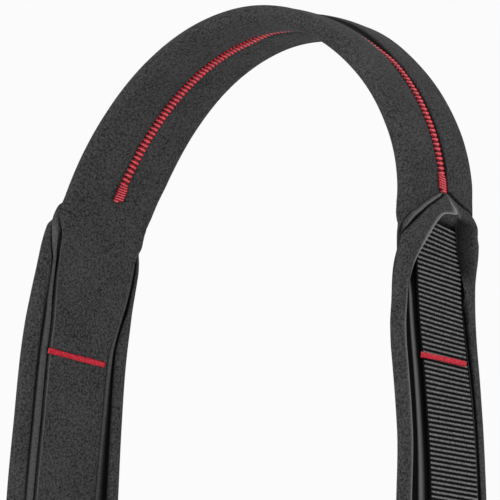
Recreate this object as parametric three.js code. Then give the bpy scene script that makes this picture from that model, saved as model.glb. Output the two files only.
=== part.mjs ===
// Camera neck strap: a folded neoprene neck pad, a neoprene wing on each arm
// and a ribbed webbing in each wing. Millimetres, +Z up, X across the neck,
// front edge of the strap towards -Y. The origin is on the inner face at the
// crown, where the strap rests on the neck.
import * as THREE from 'three';

// Pad sheet
const PLY = 3.3;              // thickness of the neoprene sheet
const FOLD_HALF = 15.2;       // centre line to the middle of the folded edge
const INNER_LEVEL = -1.85;    // mid-sheet level of the inner ply
const LOBE_BULGE = 0.45;      // how far each half of the band swells
const SEAM_PINCH = 0.8;       // depth of the valley that the seam pulls in
const SEAM_WIDTH = 2.2;
const SEAM_END = 119.3;       // length along the arm where the seam stops
const PAD_END = 247;          // plain squared end of the tongue and wing

// Wing
const WING_START = 119.9;
const NOSE_LEVEL = 4;         // inner side of the nose, which lies on the pad's flaps
const NOSE_OPEN = 126.6;      // where the lapels part
const OPENING = 1.6;          // length over which the pocket between them opens
const NOSE_END = 128.4;
const BASE_START = 130.6;     // from here on the base lies on the pad's inner ply
const BASE_INNER = 0.25;      // inner side of the wing's base ply
const BASE_PLY = 1.35;
const LAPEL_PLY = 2.2;
const LIP_ROUND = 0.3;
const LAPEL_SWELL = 0.04;     // how far a lapel bulges, as a share of its width
const CREASE_DEPTH = 1;
const CREASE_SHARE = 0.45;    // the crease is no deeper than this share of the roll
const POCKET_GAP = 0.4;       // webbing edge to the pocket's wall
const POCKET_WALL = 0.6;
const STRIP_GAP = 0.8;        // webbing edge to the strip further down
const STRIP_LEAN = 0.15;
const GUTTER = 0.9;           // floor of the gutter between the lip and the strip
const BARE_SPAN = 1.6;        // how far a lip draws back while the gutter appears
const LIP_GAP = 0.15;         // each lip's distance from the middle in the closed nose
const SLIVER = 0.05;          // keeps neighbouring points apart
const ARC_STEPS = 7;          // facets round a rolled edge

// Webbing
const WEB_START = 131;
const WEB_FULL = 134.5;       // it has its full width from here on
const WEB_END = 272;
const WEB_NARROW = 7;         // half-width of its hidden upper end
const WEB_HALF = 12.2;
const WEB_CENTRE = 0.4;
const WEB_LOW = 2;
const WEB_HIGH = 3.5;
const WEB_EDGE = 0.45;        // rounding of the selvedge

const NEOPRENE = new THREE.MeshStandardMaterial({ color: 0x2c2c2d, roughness: 0.9 });
const WEBBING = new THREE.MeshStandardMaterial({ color: 0x303031, roughness: 0.8 });

// Reads a short table: one object per row, in the order of its columns.
function table(columns, rows) {
  return rows.map((row) => Object.fromEntries(columns.map((name, i) => [name, row[i]])));
}

// Straight-line lookup of every column at a length along the arm.
function lookup(rows, along) {
  const last = rows[rows.length - 1];
  if (along <= rows[0].along) return rows[0];
  if (along >= last.along) return last;
  const next = rows.findIndex((row) => row.along > along);
  const a = rows[next - 1];
  const b = rows[next];
  const f = (along - a.along) / (b.along - a.along);
  const out = {};
  for (const name of Object.keys(a)) out[name] = a[name] + f * (b[name] - a[name]);
  return out;
}

// The strap's middle line from the crown down one arm, as three angles.
const PATH = table(['along', 'bend', 'lean', 'twist'], [
  [0, 0, 8, 4.5],
  [30, 17.5, 8, 4.5],
  [60, 33.6, 6.8, 6.4],
  [91, 52, 9.6, 5.8],
  [110, 65.6, 12.8, 6],
  [119, 71.7, 13.8, 6],
  [127, 77, 17.4, 4.4],
  [135, 79.6, 15.6, 6.4],
  [145, 80.3, 9.6, 8.1],
  [160, 78.6, 5, 9.5],
  [180, 78.8, 1.1, 9.7],
  [205, 81.6, 1.3, 7.2],
  [235, 85, 2, 5.4],
]);

// The pad's two long edges: the flat half-width, how round the fold is, how far
// it turns and the sheet's length from the middle line to its cut edge.
const PAD_COLUMNS = ['along', 'half', 'radius', 'fold', 'cut'];
const PAD_FRONT = table(PAD_COLUMNS, [
  [0, 15.6, 1.85, 180, 36.9],
  [125, 15.6, 1.85, 180, 36.9],
  [128, 15.6, 1.85, 180, 30],
  [131, 15.6, 1.85, 180, 23.6],
  [132, 15.4, 1.85, 165, 20.9],
  [133.2, 15, 1.9, 130, 19.4],
  [135, 14.2, 2, 90, 17.4],
  [139.5, 14.2, 2.4, 36, 15.7],
  [144, 13.8, 4, 22, 15.3],
  [148, 13.4, 8, 11, 14.9],
  [152, 13.2, 16, 5, 14.6],
  [160, 13, 30, 3, 14.5],
  [170, 12, 60, 1.2, 13.3],
  [180, 11.2, 60, 1, 12.2],
  [206, 11.5, 60, 1, 12.5],
  [PAD_END, 12, 60, 1, 13],
]);
const PAD_BACK = table(PAD_COLUMNS, [
  [0, 14.6, 2.3, 180, 36.3],
  [25, 14.6, 2.3, 180, 36.3],
  [60, 14.6, 1.9, 180, 35],
  [110, 15, 1.9, 180, 35.8],
  [SEAM_END, 14.6, 1.85, 180, 34.9],
  [124, 14.6, 1.85, 180, 34.9],
  [126.2, 14.6, 1.85, 180, 28],
  [128, 14.6, 1.85, 180, 21.7],
  [129.6, 14.6, 1.85, 140, 19.1],
  [131, 14.6, 2, 95, 17.9],
  [135, 14.8, 2.4, 60, 17.3],
  [140, 14.2, 3, 35, 16],
  [148, 14, 8, 12, 15.7],
  [160, 13.6, 30, 3, 15.2],
  [170, 12.8, 60, 1.2, 14],
  [180, 11.4, 60, 1, 12.4],
  [206, 12.4, 60, 1, 13.4],
  [PAD_END, 13, 60, 1, 14],
]);

// The wing's under layer, which shows as a narrow rim beside its rolled edge:
// where the base ends, the rim's lower and upper corner, and the angle at which
// the roll starts beyond the crease.
const RIM_COLUMNS = ['along', 'base', 'lowY', 'lowN', 'highY', 'highN', 'start'];
const RIM_FRONT = table(RIM_COLUMNS, [
  [WING_START, 0.6, 1.6, 4, 1.55, 4.4, 15],
  [121.5, 1.6, 3.4, 4, 3.3, 4.6, 20],
  [123.4, 3.6, 5.7, 4, 5.6, 4.7, 20],
  [126.6, 6.4, 9.6, 4, 9.5, 4.7, 15],
  [128, 6.4, 11.2, 4, 11.1, 4.7, 12],
  [129.8, 10.1, 13.9, 4, 13.8, 4.7, 8],
  [131.8, 13.4, 16.8, 4, 16.9, 4.6, 4],
  [133.2, 14.2, 17.4, 2.9, 17.7, 3.7, -12],
  [135, 12.9, 17.6, 0.9, 18, 1.6, -29],
  [137.5, 13.4, 17.5, 0.6, 18, 1, -42],
  [139.5, 15.2, 17.2, -0.8, 17.9, -0.2, -55],
  [144, 15.4, 16.4, -1.6, 17, -1.6, -77],
  [148, 15.3, 15.9, -1.9, 16.3, -2, -95],
  [160, 15, 15.3, -2, 15.9, -2.1, -120],
  [170, 13.9, 14.1, -2, 15.4, -2.2, -138],
  [180, 12.8, 12.95, -2, 15.4, -2.3, -144],
  [206, 13.1, 13.25, -2, 15.2, -2.3, -144],
  [PAD_END, 13.6, 13.75, -2.2, 15.8, -2.6, -156],
]);
const RIM_BACK = table(RIM_COLUMNS, [
  [WING_START, 0.8, 1, 4, 1.3, 4.1, -20],
  [121.5, 2.2, 3, 4, 3.4, 4.1, -25],
  [123, 4.6, 5.8, 4, 6.2, 4.1, -39],
  [124.2, 7, 10, 4, 10.5, 4.1, -50],
  [126.2, 6.5, 12.6, 4, 13.3, 4.05, -62],
  [128, 12.4, 13.5, 4, 14.2, 4, -69],
  [128.8, 12.8, 13.9, 4, 14.5, 4, -69],
  [129.6, 13.4, 14.6, 2.9, 15.1, 3, -59],
  [131, 13.9, 15, 1.7, 15.5, 1.9, -64],
  [135, 14, 15.6, 1, 16.2, 0.9, -74],
  [140, 15.2, 16.1, 0.2, 16.7, 0, -75],
  [144, 15.7, 16.7, -0.7, 17.1, -0.8, -78],
  [148, 15.9, 16.6, -1.2, 17, -1.4, -82],
  [160, 15.6, 15.9, -1.9, 16.7, -2.1, -86],
  [170, 14.4, 14.6, -2, 16, -2.2, -108],
  [180, 12.85, 13, -2, 15.9, -2.3, -116],
  [206, 13.85, 14, -2, 16.3, -2.4, -118],
  [PAD_END, 14.45, 14.6, -2.2, 16.7, -2.6, -118],
]);

// The wing's two rolled edges and lapels: middle and radius of the roll, the
// lapel's free lip, and the strip that rises inside the lip further down.
const WING_COLUMNS = ['along', 'rollY', 'rollN', 'rollR', 'lipY', 'lipN', 'stripY', 'stripN'];
const WING_FRONT = table(WING_COLUMNS, [
  [WING_START, 0.9, 4.7, 0.45, LIP_GAP, 5.2, 13, GUTTER],
  [121.5, 2, 5, 0.75, LIP_GAP, 5.9, 13, GUTTER],
  [123.4, 3.8, 5.3, 1.1, LIP_GAP, 6.5, 13, GUTTER],
  [NOSE_OPEN, 7.3, 5.5, 1.35, LIP_GAP, 6.9, 13, GUTTER],
  [128, 9.1, 5.6, 1.5, 1.9, 6.9, 13, GUTTER],
  [129.8, 12.1, 5.7, 1.75, 3.3, 6.9, 13, GUTTER],
  [131.8, 14.9, 5.8, 2.1, 4.9, 6.9, 13, GUTTER],
  [133.2, 15.6, 5.2, 2.4, 5.9, 6.8, 13, GUTTER],
  [135, 15.7, 4.2, 2.8, 7.1, 6.8, 13, GUTTER],
  [139.5, 16.6, 3.6, 3.25, 9.9, 6.7, 13, GUTTER],
  [144, 17.2, 2.6, 3.3, 12.6, 6, 13, GUTTER],
  [148, 17.7, 1.6, 3.25, 14.5, 5.1, 13.4, GUTTER],
  [152, 17.9, 1, 3.3, 15.8, 4.4, 13.8, 1],
  [160, 18.2, 0.4, 3.4, 17.6, 3.7, 14.5, 2.2],
  [170, 19, -0.5, 3.4, 18.4, 2.8, 14.6, 2.5],
  [180, 19.2, -0.9, 3.4, 18.4, 2.4, 14.7, 2.5],
  [206, 19, -0.9, 3.4, 17.6, 2.2, 16, 2.3],
  [235, 19.9, -1.9, 3.4, 18.7, 1.4, 16.8, 1.9],
  [PAD_END, 20, -2.2, 3.4, 18.7, 1.2, 16.8, 1.9],
]);
const WING_BACK = table(WING_COLUMNS, [
  [WING_START, 1.2, 4.7, 0.45, LIP_GAP, 5.2, 14, GUTTER],
  [121.5, 3.2, 4.9, 0.75, LIP_GAP, 5.9, 14, GUTTER],
  [123, 6, 5.2, 1.05, LIP_GAP, 6.5, 14, GUTTER],
  [124.2, 10.4, 5.4, 1.35, LIP_GAP, 6.7, 14, GUTTER],
  [NOSE_OPEN, 13.7, 5.5, 1.55, LIP_GAP, 6.9, 14, GUTTER],
  [128, 14.4, 5.6, 1.7, 3.8, 7, 14, GUTTER],
  [131.8, 15.5, 4.5, 2.3, 7.4, 7, 14, GUTTER],
  [135, 16.5, 3.8, 2.9, 10, 7, 14, GUTTER],
  [139.5, 17.1, 3.3, 3, 11.1, 6.8, 14, GUTTER],
  [144, 17.9, 2.3, 3, 11.6, 6.3, 14, GUTTER],
  [148, 18.2, 1.6, 3, 12.2, 5.8, 14, GUTTER],
  [152, 18, 1.2, 3.2, 13, 5.2, 14, 1],
  [160, 17.8, 0.8, 3.4, 14.6, 4.5, 14.1, 2.2],
  [170, 18, 0.1, 3.4, 15.9, 3.5, 14.3, 2.5],
  [180, 18.1, -0.4, 3.4, 16.2, 3.1, 14.5, 2.5],
  [206, 18.8, -2.5, 3.4, 16.8, 1.4, 14.8, 2],
  [235, 19.6, -4.2, 3.4, 17.4, 0.3, 15, 1.2],
  [PAD_END, 19.9, -4.5, 3.4, 17.6, 0.2, 15, 1],
]);

const RAD = Math.PI / 180;
const PATH_STEP = 0.25;

// Directions at a length along the right arm: tangent, across the strap
// towards the back, and outwards.
function directions(along) {
  const { bend, lean, twist } = lookup(PATH, along);
  const [b, l, t] = [bend * RAD, lean * RAD, twist * RAD];
  const tangent = new THREE.Vector3(
    Math.cos(b), -Math.sin(b) * Math.sin(l), -Math.sin(b) * Math.cos(l));
  const across = new THREE.Vector3(0, Math.cos(l), -Math.sin(l));
  const out = new THREE.Vector3(
    Math.sin(b), Math.cos(b) * Math.sin(l), Math.cos(b) * Math.cos(l));
  return {
    tangent,
    across: across.clone().multiplyScalar(Math.cos(t)).addScaledVector(out, -Math.sin(t)),
    out: out.clone().multiplyScalar(Math.cos(t)).addScaledVector(across, Math.sin(t)),
  };
}

// Middle line points, every PATH_STEP, starting above the origin.
const MIDDLE = (() => {
  const crown = directions(0).out.multiplyScalar(PLY / 2 - INNER_LEVEL - SEAM_PINCH);
  const points = [crown];
  for (let along = 0; along < WEB_END + 2; along += PATH_STEP) {
    const { tangent } = directions(along + PATH_STEP / 2);
    points.push(points[points.length - 1].clone().addScaledVector(tangent, PATH_STEP));
  }
  return points;
})();

// A point of a section: y across the strap, n outwards. A negative length is
// on the left arm, which mirrors the right one.
function place(along, y, n) {
  const s = Math.abs(along);
  const i = Math.min(Math.floor(s / PATH_STEP), MIDDLE.length - 2);
  const { across, out } = directions(s);
  const point = MIDDLE[i].clone().lerp(MIDDLE[i + 1], s / PATH_STEP - i);
  point.addScaledVector(across, y).addScaledVector(out, n);
  if (along < 0) point.x = -point.x;
  return point;
}

// Closed solid through a run of sections that all have the same point count.
function loft(name, material, lengths, sectionAt) {
  const rings = lengths.map((along) => sectionAt(Math.abs(along)).map(([y, n]) => place(along, y, n)));
  const count = rings[0].length;
  const positions = rings.flat();
  const faces = [];
  for (let r = 0; r + 1 < rings.length; r += 1) {
    for (let i = 0; i < count; i += 1) {
      const a = r * count + i;
      const b = r * count + ((i + 1) % count);
      faces.push([a, b, a + count], [b, b + count, a + count]);
    }
  }
  const capAt = (along, offset, flip) => {
    const flat = sectionAt(Math.abs(along)).map(([y, n]) => new THREE.Vector2(y, n));
    for (const [a, b, c] of THREE.ShapeUtils.triangulateShape(flat, [])) {
      faces.push(flip ? [offset + c, offset + b, offset + a] : [offset + a, offset + b, offset + c]);
    }
  };
  const anticlockwise = THREE.ShapeUtils.area(
    sectionAt(Math.abs(lengths[0])).map(([y, n]) => new THREE.Vector2(y, n))) > 0;
  capAt(lengths[0], 0, anticlockwise);
  capAt(lengths[lengths.length - 1], (rings.length - 1) * count, !anticlockwise);

  let volume = 0;
  for (const [a, b, c] of faces) {
    volume += positions[a].dot(positions[b].clone().cross(positions[c]));
  }
  const geometry = new THREE.BufferGeometry();
  geometry.setAttribute('position', new THREE.Float32BufferAttribute(
    positions.flatMap((p) => [p.x, p.y, p.z]), 3));
  geometry.setIndex(faces.flatMap((f) => (volume > 0 ? f : [f[0], f[2], f[1]])));
  geometry.computeVertexNormals();
  const mesh = new THREE.Mesh(geometry, material);
  mesh.name = name;
  return mesh;
}

// Lengths from a to b, close to a wanted step.
function run(a, b, step) {
  const n = Math.max(1, Math.round((b - a) / step));
  return Array.from({ length: n }, (_, i) => a + ((b - a) * i) / n);
}

// Mid-sheet point and outside direction at a distance from the centre line
// measured along the sheet.
function sheetPoint(edge, distance) {
  const fold = edge.fold * RAD;
  const foldEnd = edge.half + edge.radius * fold;
  if (distance <= edge.half) return { y: distance, n: INNER_LEVEL, ny: 0, nn: -1 };
  const turn = Math.min(distance - edge.half, edge.radius * fold) / edge.radius;
  const past = Math.max(0, distance - foldEnd);
  return {
    y: edge.half + edge.radius * Math.sin(turn) + past * Math.cos(turn),
    n: INNER_LEVEL + edge.radius * (1 - Math.cos(turn)) + past * Math.sin(turn),
    ny: Math.sin(turn),
    nn: -Math.cos(turn),
  };
}

// Distances along the sheet from the centre to the cut, closer in the fold
// and beside the seam.
const HALF_NODES = 11;
function sheetNodes(edge) {
  const steps = 240;
  const weight = (d) => {
    const inFold = d > edge.half && d < edge.half + edge.radius * edge.fold * RAD;
    return inFold ? 4.5 : 1 + 2 * Math.exp(-((d / 2.5) ** 2));
  };
  const sums = [0];
  for (let i = 0; i < steps; i += 1) sums.push(sums[i] + weight(((i + 0.5) / steps) * edge.cut));
  return Array.from({ length: HALF_NODES + 1 }, (_, k) => {
    const wanted = (k / HALF_NODES) * sums[steps];
    let i = 0;
    while (i < steps - 1 && sums[i + 1] < wanted) i += 1;
    return ((i + (wanted - sums[i]) / (sums[i + 1] - sums[i])) / steps) * edge.cut;
  });
}

function padSection(along) {
  const past = Math.min(Math.max((along - SEAM_END + 4) / 18, 0), 1);
  const swell = 1 - past * past * (3 - 2 * past);
  const outside = [];
  const inside = [];
  for (const [side, rows] of [[-1, PAD_FRONT], [1, PAD_BACK]]) {
    const edge = lookup(rows, along);
    const nodes = sheetNodes(edge).map((distance) => {
      const p = sheetPoint(edge, distance);
      const flat = Math.abs(p.nn);
      const lobe = flat * LOBE_BULGE * swell * Math.sin(Math.PI * Math.min(p.y / FOLD_HALF, 1)) ** 2;
      const valley = flat * SEAM_PINCH * swell * Math.exp(-((p.y / SEAM_WIDTH) ** 2));
      const outer = PLY / 2 + lobe - valley;
      const inner = -PLY / 2 + lobe;
      return {
        outer: [side * (p.y + p.ny * outer), p.n + p.nn * outer],
        inner: [side * (p.y + p.ny * inner), p.n + p.nn * inner],
      };
    });
    const ordered = side < 0 ? nodes.reverse() : nodes.slice(1);
    outside.push(...ordered.map((node) => node.outer));
    inside.push(...ordered.map((node) => node.inner));
  }
  return [...outside, ...inside.reverse()];
}

const { lerp, smoothstep } = THREE.MathUtils;
const smooth = (t) => smoothstep(t, 0, 1);
const between = ([ay, an], [by, bn], t) => [lerp(ay, by, t), lerp(an, bn, t)];

// The bottom of a crease: halfway between its two edges and pushed into the solid.
function creasePoint([ay, an], [by, bn], depth) {
  const width = Math.hypot(by - ay, bn - an);
  const [y, n] = between([ay, an], [by, bn], 0.5);
  return [y - (depth * (bn - an)) / width, n + (depth * (by - ay)) / width];
}

// One half of the wing's section: from the base's end on the inner side round
// the rim, the crease and the rolled edge, over the lapel to its lip, and back
// through the pocket or, further down, the gutter and the strip to the floor.
function wingHalf(along, side, rimRows, wingRows, webEdge) {
  const rim = lookup(rimRows, along);
  const w = lookup(wingRows, along);
  const open = smooth((along - NOSE_OPEN) / OPENING);
  const wall = webEdge + STRIP_GAP;
  const bare = smooth((w.lipY - wall) / BARE_SPAN);
  const settled = smooth((along - NOSE_END) / (BASE_START - NOSE_END));
  const inner = lerp(NOSE_LEVEL, BASE_INNER, settled);
  const floor = lerp(w.lipN - LIP_ROUND, inner + BASE_PLY, open);

  const start = rim.start * RAD;
  const slope = Math.atan2(w.lipN - w.rollN - w.rollR, w.rollY - w.lipY);
  const end = Math.PI / 2 - Math.max(slope, 0);
  const arc = Array.from({ length: ARC_STEPS + 1 }, (_, i) => {
    const angle = lerp(start, end, i / ARC_STEPS);
    return [w.rollY + w.rollR * Math.cos(angle), w.rollN + w.rollR * Math.sin(angle)];
  });
  const high = [rim.highY, rim.highN];
  const crease = creasePoint(high, arc[0], Math.min(CREASE_DEPTH, CREASE_SHARE * w.rollR));

  const roof = arc[ARC_STEPS];
  const lip = [w.lipY, w.lipN];
  const width = roof[0] - w.lipY;
  const clear = w.lipN - WEB_HIGH - POCKET_GAP;
  const ply = Math.min(lerp(SLIVER, Math.min(LAPEL_PLY, clear), open), w.lipN - floor - 2 * SLIVER);
  const room = Math.min(webEdge + POCKET_GAP, w.rollY - w.rollR / 2, rim.base - POCKET_WALL);
  const pocket = Math.max(w.lipY + LIP_ROUND, open * room);
  const [, above] = between(roof, lip, (roof[0] - pocket) / width);
  const ceiling = Math.max(Math.min(w.lipN, above) - ply, floor + SLIVER);
  const covered = [
    [w.lipY + SLIVER, w.lipN - ply],
    [pocket, ceiling],
    [pocket, lerp(floor, ceiling, 2 / 3)],
    [pocket, lerp(floor, ceiling, 1 / 3)],
    [pocket - SLIVER, floor],
  ];
  const gutter = Math.min(GUTTER, w.lipN - GUTTER);
  const strip = Math.min(w.stripY, w.lipY - STRIP_GAP);
  const uncovered = [
    [w.lipY + STRIP_LEAN, gutter],
    [strip, gutter],
    [strip - STRIP_LEAN, w.stripN],
    [wall + SLIVER, w.stripN],
    [wall, floor],
  ];
  const [crownY, crownN] = between(roof, lip, 0.5);
  const points = [
    [rim.base, inner],
    [rim.base + SLIVER, Math.max(rim.lowN, inner)],
    [rim.lowY, rim.lowN],
    high,
    crease,
    ...arc,
    [crownY, crownN + LAPEL_SWELL * width],
    [w.lipY + LIP_ROUND * open + SLIVER, w.lipN],
    [w.lipY, w.lipN - SLIVER - LIP_ROUND * open],
    ...covered.map((point, i) => between(point, uncovered[i], bare)),
  ];
  return points.map(([y, n]) => [side * y, n]);
}

function wingSection(along) {
  const front = wingHalf(along, -1, RIM_FRONT, WING_FRONT, WEB_HALF - WEB_CENTRE);
  const back = wingHalf(along, 1, RIM_BACK, WING_BACK, WEB_HALF + WEB_CENTRE);
  const [, inner] = front[0];
  const [, floor] = front[front.length - 1];
  return [[0, inner], ...back, [0, floor], ...front.reverse()];
}

function webSection(along) {
  const full = smooth((along - WEB_START) / (WEB_FULL - WEB_START));
  const half = WEB_NARROW + full * (WEB_HALF - WEB_NARROW);
  const [a, b] = [WEB_CENTRE - half, WEB_CENTRE + half];
  return [
    [a + WEB_EDGE, WEB_LOW], [b - WEB_EDGE, WEB_LOW], [b, WEB_LOW + WEB_EDGE],
    [b, WEB_HIGH - WEB_EDGE], [b - WEB_EDGE, WEB_HIGH], [a + WEB_EDGE, WEB_HIGH],
    [a, WEB_HIGH - WEB_EDGE], [a, WEB_LOW + WEB_EDGE],
  ];
}

// The pieces share their stations through the joint and down the arm.
const jointLengths = run(WING_START, 150, 2.15);
const tailLengths = [...run(150, 180, 7.5), ...run(180, PAD_END, 13.4), PAD_END];
const wingLengths = [...jointLengths, ...tailLengths];
const webLengths = [WEB_START, ...wingLengths.filter((s) => s > WEB_START), WEB_END];
const armLengths = [...run(0, 112, 9), ...run(112, WING_START, 4), ...wingLengths];
const padLengths = [...armLengths.slice(1).map((s) => -s).reverse(), ...armLengths];

const strap = new THREE.Group();
strap.name = 'camera_neck_strap';
strap.add(loft('neck_pad', NEOPRENE, padLengths, padSection));
for (const [side, name] of [[-1, 'left'], [1, 'right']]) {
  strap.add(loft(`${name}_wing`, NEOPRENE, wingLengths.map((s) => side * s), wingSection));
  strap.add(loft(`${name}_webbing`, WEBBING, webLengths.map((s) => side * s), webSection));
}

export default strap;
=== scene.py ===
"""Dresses a camera neck strap: a folded neoprene neck pad sewn with red thread,
and on each arm a rolled neoprene wing that holds a ribbed webbing.

Every shape is worked out in strap coordinates, in millimetres: the length along
the arm from the crown, y across the strap towards its back edge, and n outwards
from the neck. ArmPath carries them into the row frame, in metres.

Two tones lie on the points of the neoprene: a painted highlight on lit cut edges, rims, lips and the pad's
front shoulder, and painted shade in creases, gaps, pockets and where one piece lies on another. A painted
shade above 1 is cut off at 1 once the corners are rounded, which widens the dark line.
"""

import logging
import math
from dataclasses import dataclass, field
from enum import Enum

import bpy
import numpy as np
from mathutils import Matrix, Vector

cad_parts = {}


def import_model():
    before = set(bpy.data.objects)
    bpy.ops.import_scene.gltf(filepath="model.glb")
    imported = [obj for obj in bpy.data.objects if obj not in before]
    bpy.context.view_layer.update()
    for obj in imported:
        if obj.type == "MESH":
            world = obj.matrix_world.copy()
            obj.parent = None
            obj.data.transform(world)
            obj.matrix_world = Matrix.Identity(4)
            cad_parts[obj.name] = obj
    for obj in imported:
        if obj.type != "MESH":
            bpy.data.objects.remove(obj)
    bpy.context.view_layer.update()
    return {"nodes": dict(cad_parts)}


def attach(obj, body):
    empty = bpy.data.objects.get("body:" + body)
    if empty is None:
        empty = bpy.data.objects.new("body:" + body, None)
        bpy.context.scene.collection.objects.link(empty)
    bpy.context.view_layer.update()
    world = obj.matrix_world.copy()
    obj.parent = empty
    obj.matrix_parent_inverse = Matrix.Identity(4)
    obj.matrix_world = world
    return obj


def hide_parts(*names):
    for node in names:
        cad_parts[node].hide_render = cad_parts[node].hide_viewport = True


LOG = logging.getLogger("camera_neck_strap")
MM = 0.001
BODY = "root"

# A table's columns by name, and a part's two tones: its painted highlight and its painted shade.
Sizes = dict[str, np.ndarray]
Tone = tuple[np.ndarray | float, np.ndarray | float]

# A Mix node's colour sockets go by number, because its sockets of other types share their names.
MIX_A, MIX_B, MIX_OUT = 6, 7, 2


class Arm(Enum):
    """The strap's two arms; the value is the sign of a length along it."""

    LEFT = -1
    RIGHT = 1

    @property
    def label(self) -> str:
        """The arm's name in the names of its pieces."""
        return self.name.lower()


class Face(Enum):
    """The strap's two faces; the value is the sign of n on it."""

    INNER = -1
    OUTER = 1

    @property
    def label(self) -> str:
        """The face's name in the names of its pieces."""
        return self.name.lower()


class Side(Enum):
    """The strap's two long edges; the value is the sign of y at it."""

    FRONT = -1
    BACK = 1


class Finish(Enum):
    """The strap's materials, and the floor's."""

    NEOPRENE = "knit_faced_neoprene"
    WEBBING = "ribbed_nylon_webbing"
    THREAD = "red_polyester_thread"
    FLOOR = "pale_studio_floor"


@dataclass(frozen=True)
class Table:
    """A short table of sizes: the first column is the place, most often a length along an arm."""

    columns: tuple[str, ...]
    rows: tuple[tuple[float, ...], ...]

    def at(self, places: np.ndarray, smooth: bool = True) -> Sizes:
        """Reads every column at the given places.

        Args:
            places: values for the first column, whose sign doesn't count.
            smooth: True for a monotone cubic through the rows, False for straight lines.

        Returns:
            Column name to an array as long as places.
        """
        values = np.array(self.rows, float)
        known = values[:, 0]
        wanted = np.clip(np.abs(places), known[0], known[-1])
        read = monotone_cubic if smooth else np.interp
        return {name: read(wanted, known, values[:, i]) for i, name in enumerate(self.columns)}


def monotone_cubic(wanted: np.ndarray, known: np.ndarray, values: np.ndarray) -> np.ndarray:
    """Cubic Hermite curve whose slopes are the harmonic means of the neighbouring chords.

    Args:
        wanted: places to read.
        known: rising places of the values.
        values: the values there.

    Returns:
        The curve at the wanted places; it never overshoots a value.
    """
    gap = np.diff(known)
    chord = np.diff(values) / gap
    before, after = chord[:-1], chord[1:]
    total = np.where(before + after == 0, 1, before + after)
    inner = np.where(before * after > 0, 2 * before * after / total, 0.0)
    slope = np.concatenate([[chord[0]], inner, [chord[-1]]])
    row = np.clip(np.searchsorted(known, wanted, side="right") - 1, 0, len(gap) - 1)
    t = (wanted - known[row]) / gap[row]
    return (
        (1 + 2 * t) * (1 - t) ** 2 * values[row]
        + t * (1 - t) ** 2 * gap[row] * slope[row]
        + t * t * (3 - 2 * t) * values[row + 1]
        + t * t * (t - 1) * gap[row] * slope[row + 1]
    )


def smooth_step(value: np.ndarray) -> np.ndarray:
    """Rises from 0 to 1 as value does, level at both ends: 3 t squared less 2 t cubed."""
    t = np.clip(value, 0, 1)
    return t * t * (3 - 2 * t)


def mix(a: np.ndarray | float, b: np.ndarray | float, share: np.ndarray | float) -> np.ndarray:
    """Goes straight from a, at share 0, to b, at share 1."""
    return a + (b - a) * share


def bump_at(place: np.ndarray, middle: np.ndarray | float, width: np.ndarray | float) -> np.ndarray:
    """A bell curve of height 1: e to the minus ((place - middle) / width) squared."""
    return np.exp(-(((place - middle) / width) ** 2))


def lengths_between(*stretches: tuple[float, float, float]) -> np.ndarray:
    """Lengths along an arm, from stretches of (start, end, wanted step), each end once."""
    runs = [
        np.linspace(a, b, max(1, round((b - a) / step)), endpoint=False) for a, b, step in stretches
    ]
    return np.concatenate([*runs, [stretches[-1][1]]])


# Angles in degrees: the bend down from the crown, the lean forward and the twist about the line.
PATH = Table(
    ("along", "bend", "lean", "twist"),
    (
        (0, 0, 8, 4.5),
        (30, 17.5, 8, 4.5),
        (60, 33.6, 6.8, 6.4),
        (91, 52, 9.6, 5.8),
        (110, 65.6, 12.8, 6),
        (119, 71.7, 13.8, 6),
        (127, 77, 17.4, 4.4),
        (135, 79.6, 15.6, 6.4),
        (145, 80.3, 9.6, 8.1),
        (160, 78.6, 5, 9.5),
        (180, 78.8, 1.1, 9.7),
        (205, 81.6, 1.3, 7.2),
        (235, 85, 2, 5.4),
    ),
)


@dataclass(frozen=True)
class ArmPath:
    """The strap's middle line from the crown down an arm, with its directions."""

    crown_height: float = 2.7
    length: float = 274.0
    step: float = 0.25

    def directions(self, along: np.ndarray) -> tuple[np.ndarray, np.ndarray, np.ndarray]:
        """Tangent, across and outward directions on the right arm.

        The tangent turns down by bend in a plane that leans forward; across and out
        are then turned about it by twist.

        Args:
            along: lengths from the crown.

        Returns:
            Three arrays of unit vectors.
        """
        turn = PATH.at(along, smooth=False)
        bend, lean, twist = (np.radians(turn[name]) for name in ("bend", "lean", "twist"))
        zero = np.zeros_like(bend)
        tangent = np.stack(
            [np.cos(bend), -np.sin(bend) * np.sin(lean), -np.sin(bend) * np.cos(lean)], -1
        )
        across = np.stack([zero, np.cos(lean), -np.sin(lean)], -1)
        out = np.stack([np.sin(bend), np.cos(bend) * np.sin(lean), np.cos(bend) * np.cos(lean)], -1)
        straight, turned = np.cos(twist)[..., None], np.sin(twist)[..., None]
        return tangent, across * straight - out * turned, out * straight + across * turned

    def middle(self) -> tuple[np.ndarray, np.ndarray]:
        """The middle line: the running sum of the tangents at mid-step.

        Returns:
            Lengths from the crown, and the line's points there.
        """
        stops = np.arange(0, self.length + self.step, self.step)
        tangent = self.directions(stops[:-1] + self.step / 2)[0]
        crown = self.directions(np.zeros(1))[2] * self.crown_height
        return stops, np.concatenate([crown, crown + np.cumsum(tangent * self.step, axis=0)])

    def place(self, along: np.ndarray, y: np.ndarray, n: np.ndarray) -> np.ndarray:
        """Carries strap coordinates into the row frame.

        Args:
            along: lengths from the crown, negative on the left arm, which mirrors the right.
            y: distances across the strap.
            n: distances outwards.

        Returns:
            Points in metres, with one more axis than the inputs.
        """
        along, y, n = np.broadcast_arrays(along, y, n)
        flat = np.abs(along).ravel()
        stops, points = self.middle()
        base = np.stack([np.interp(flat, stops, points[:, axis]) for axis in range(3)], -1)
        _, across, out = self.directions(flat)
        placed = base + across * y.ravel()[:, None] + out * n.ravel()[:, None]
        placed[:, 0] *= np.where(along.ravel() < 0, -1, 1)
        return placed.reshape(along.shape + (3,)) * MM


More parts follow.
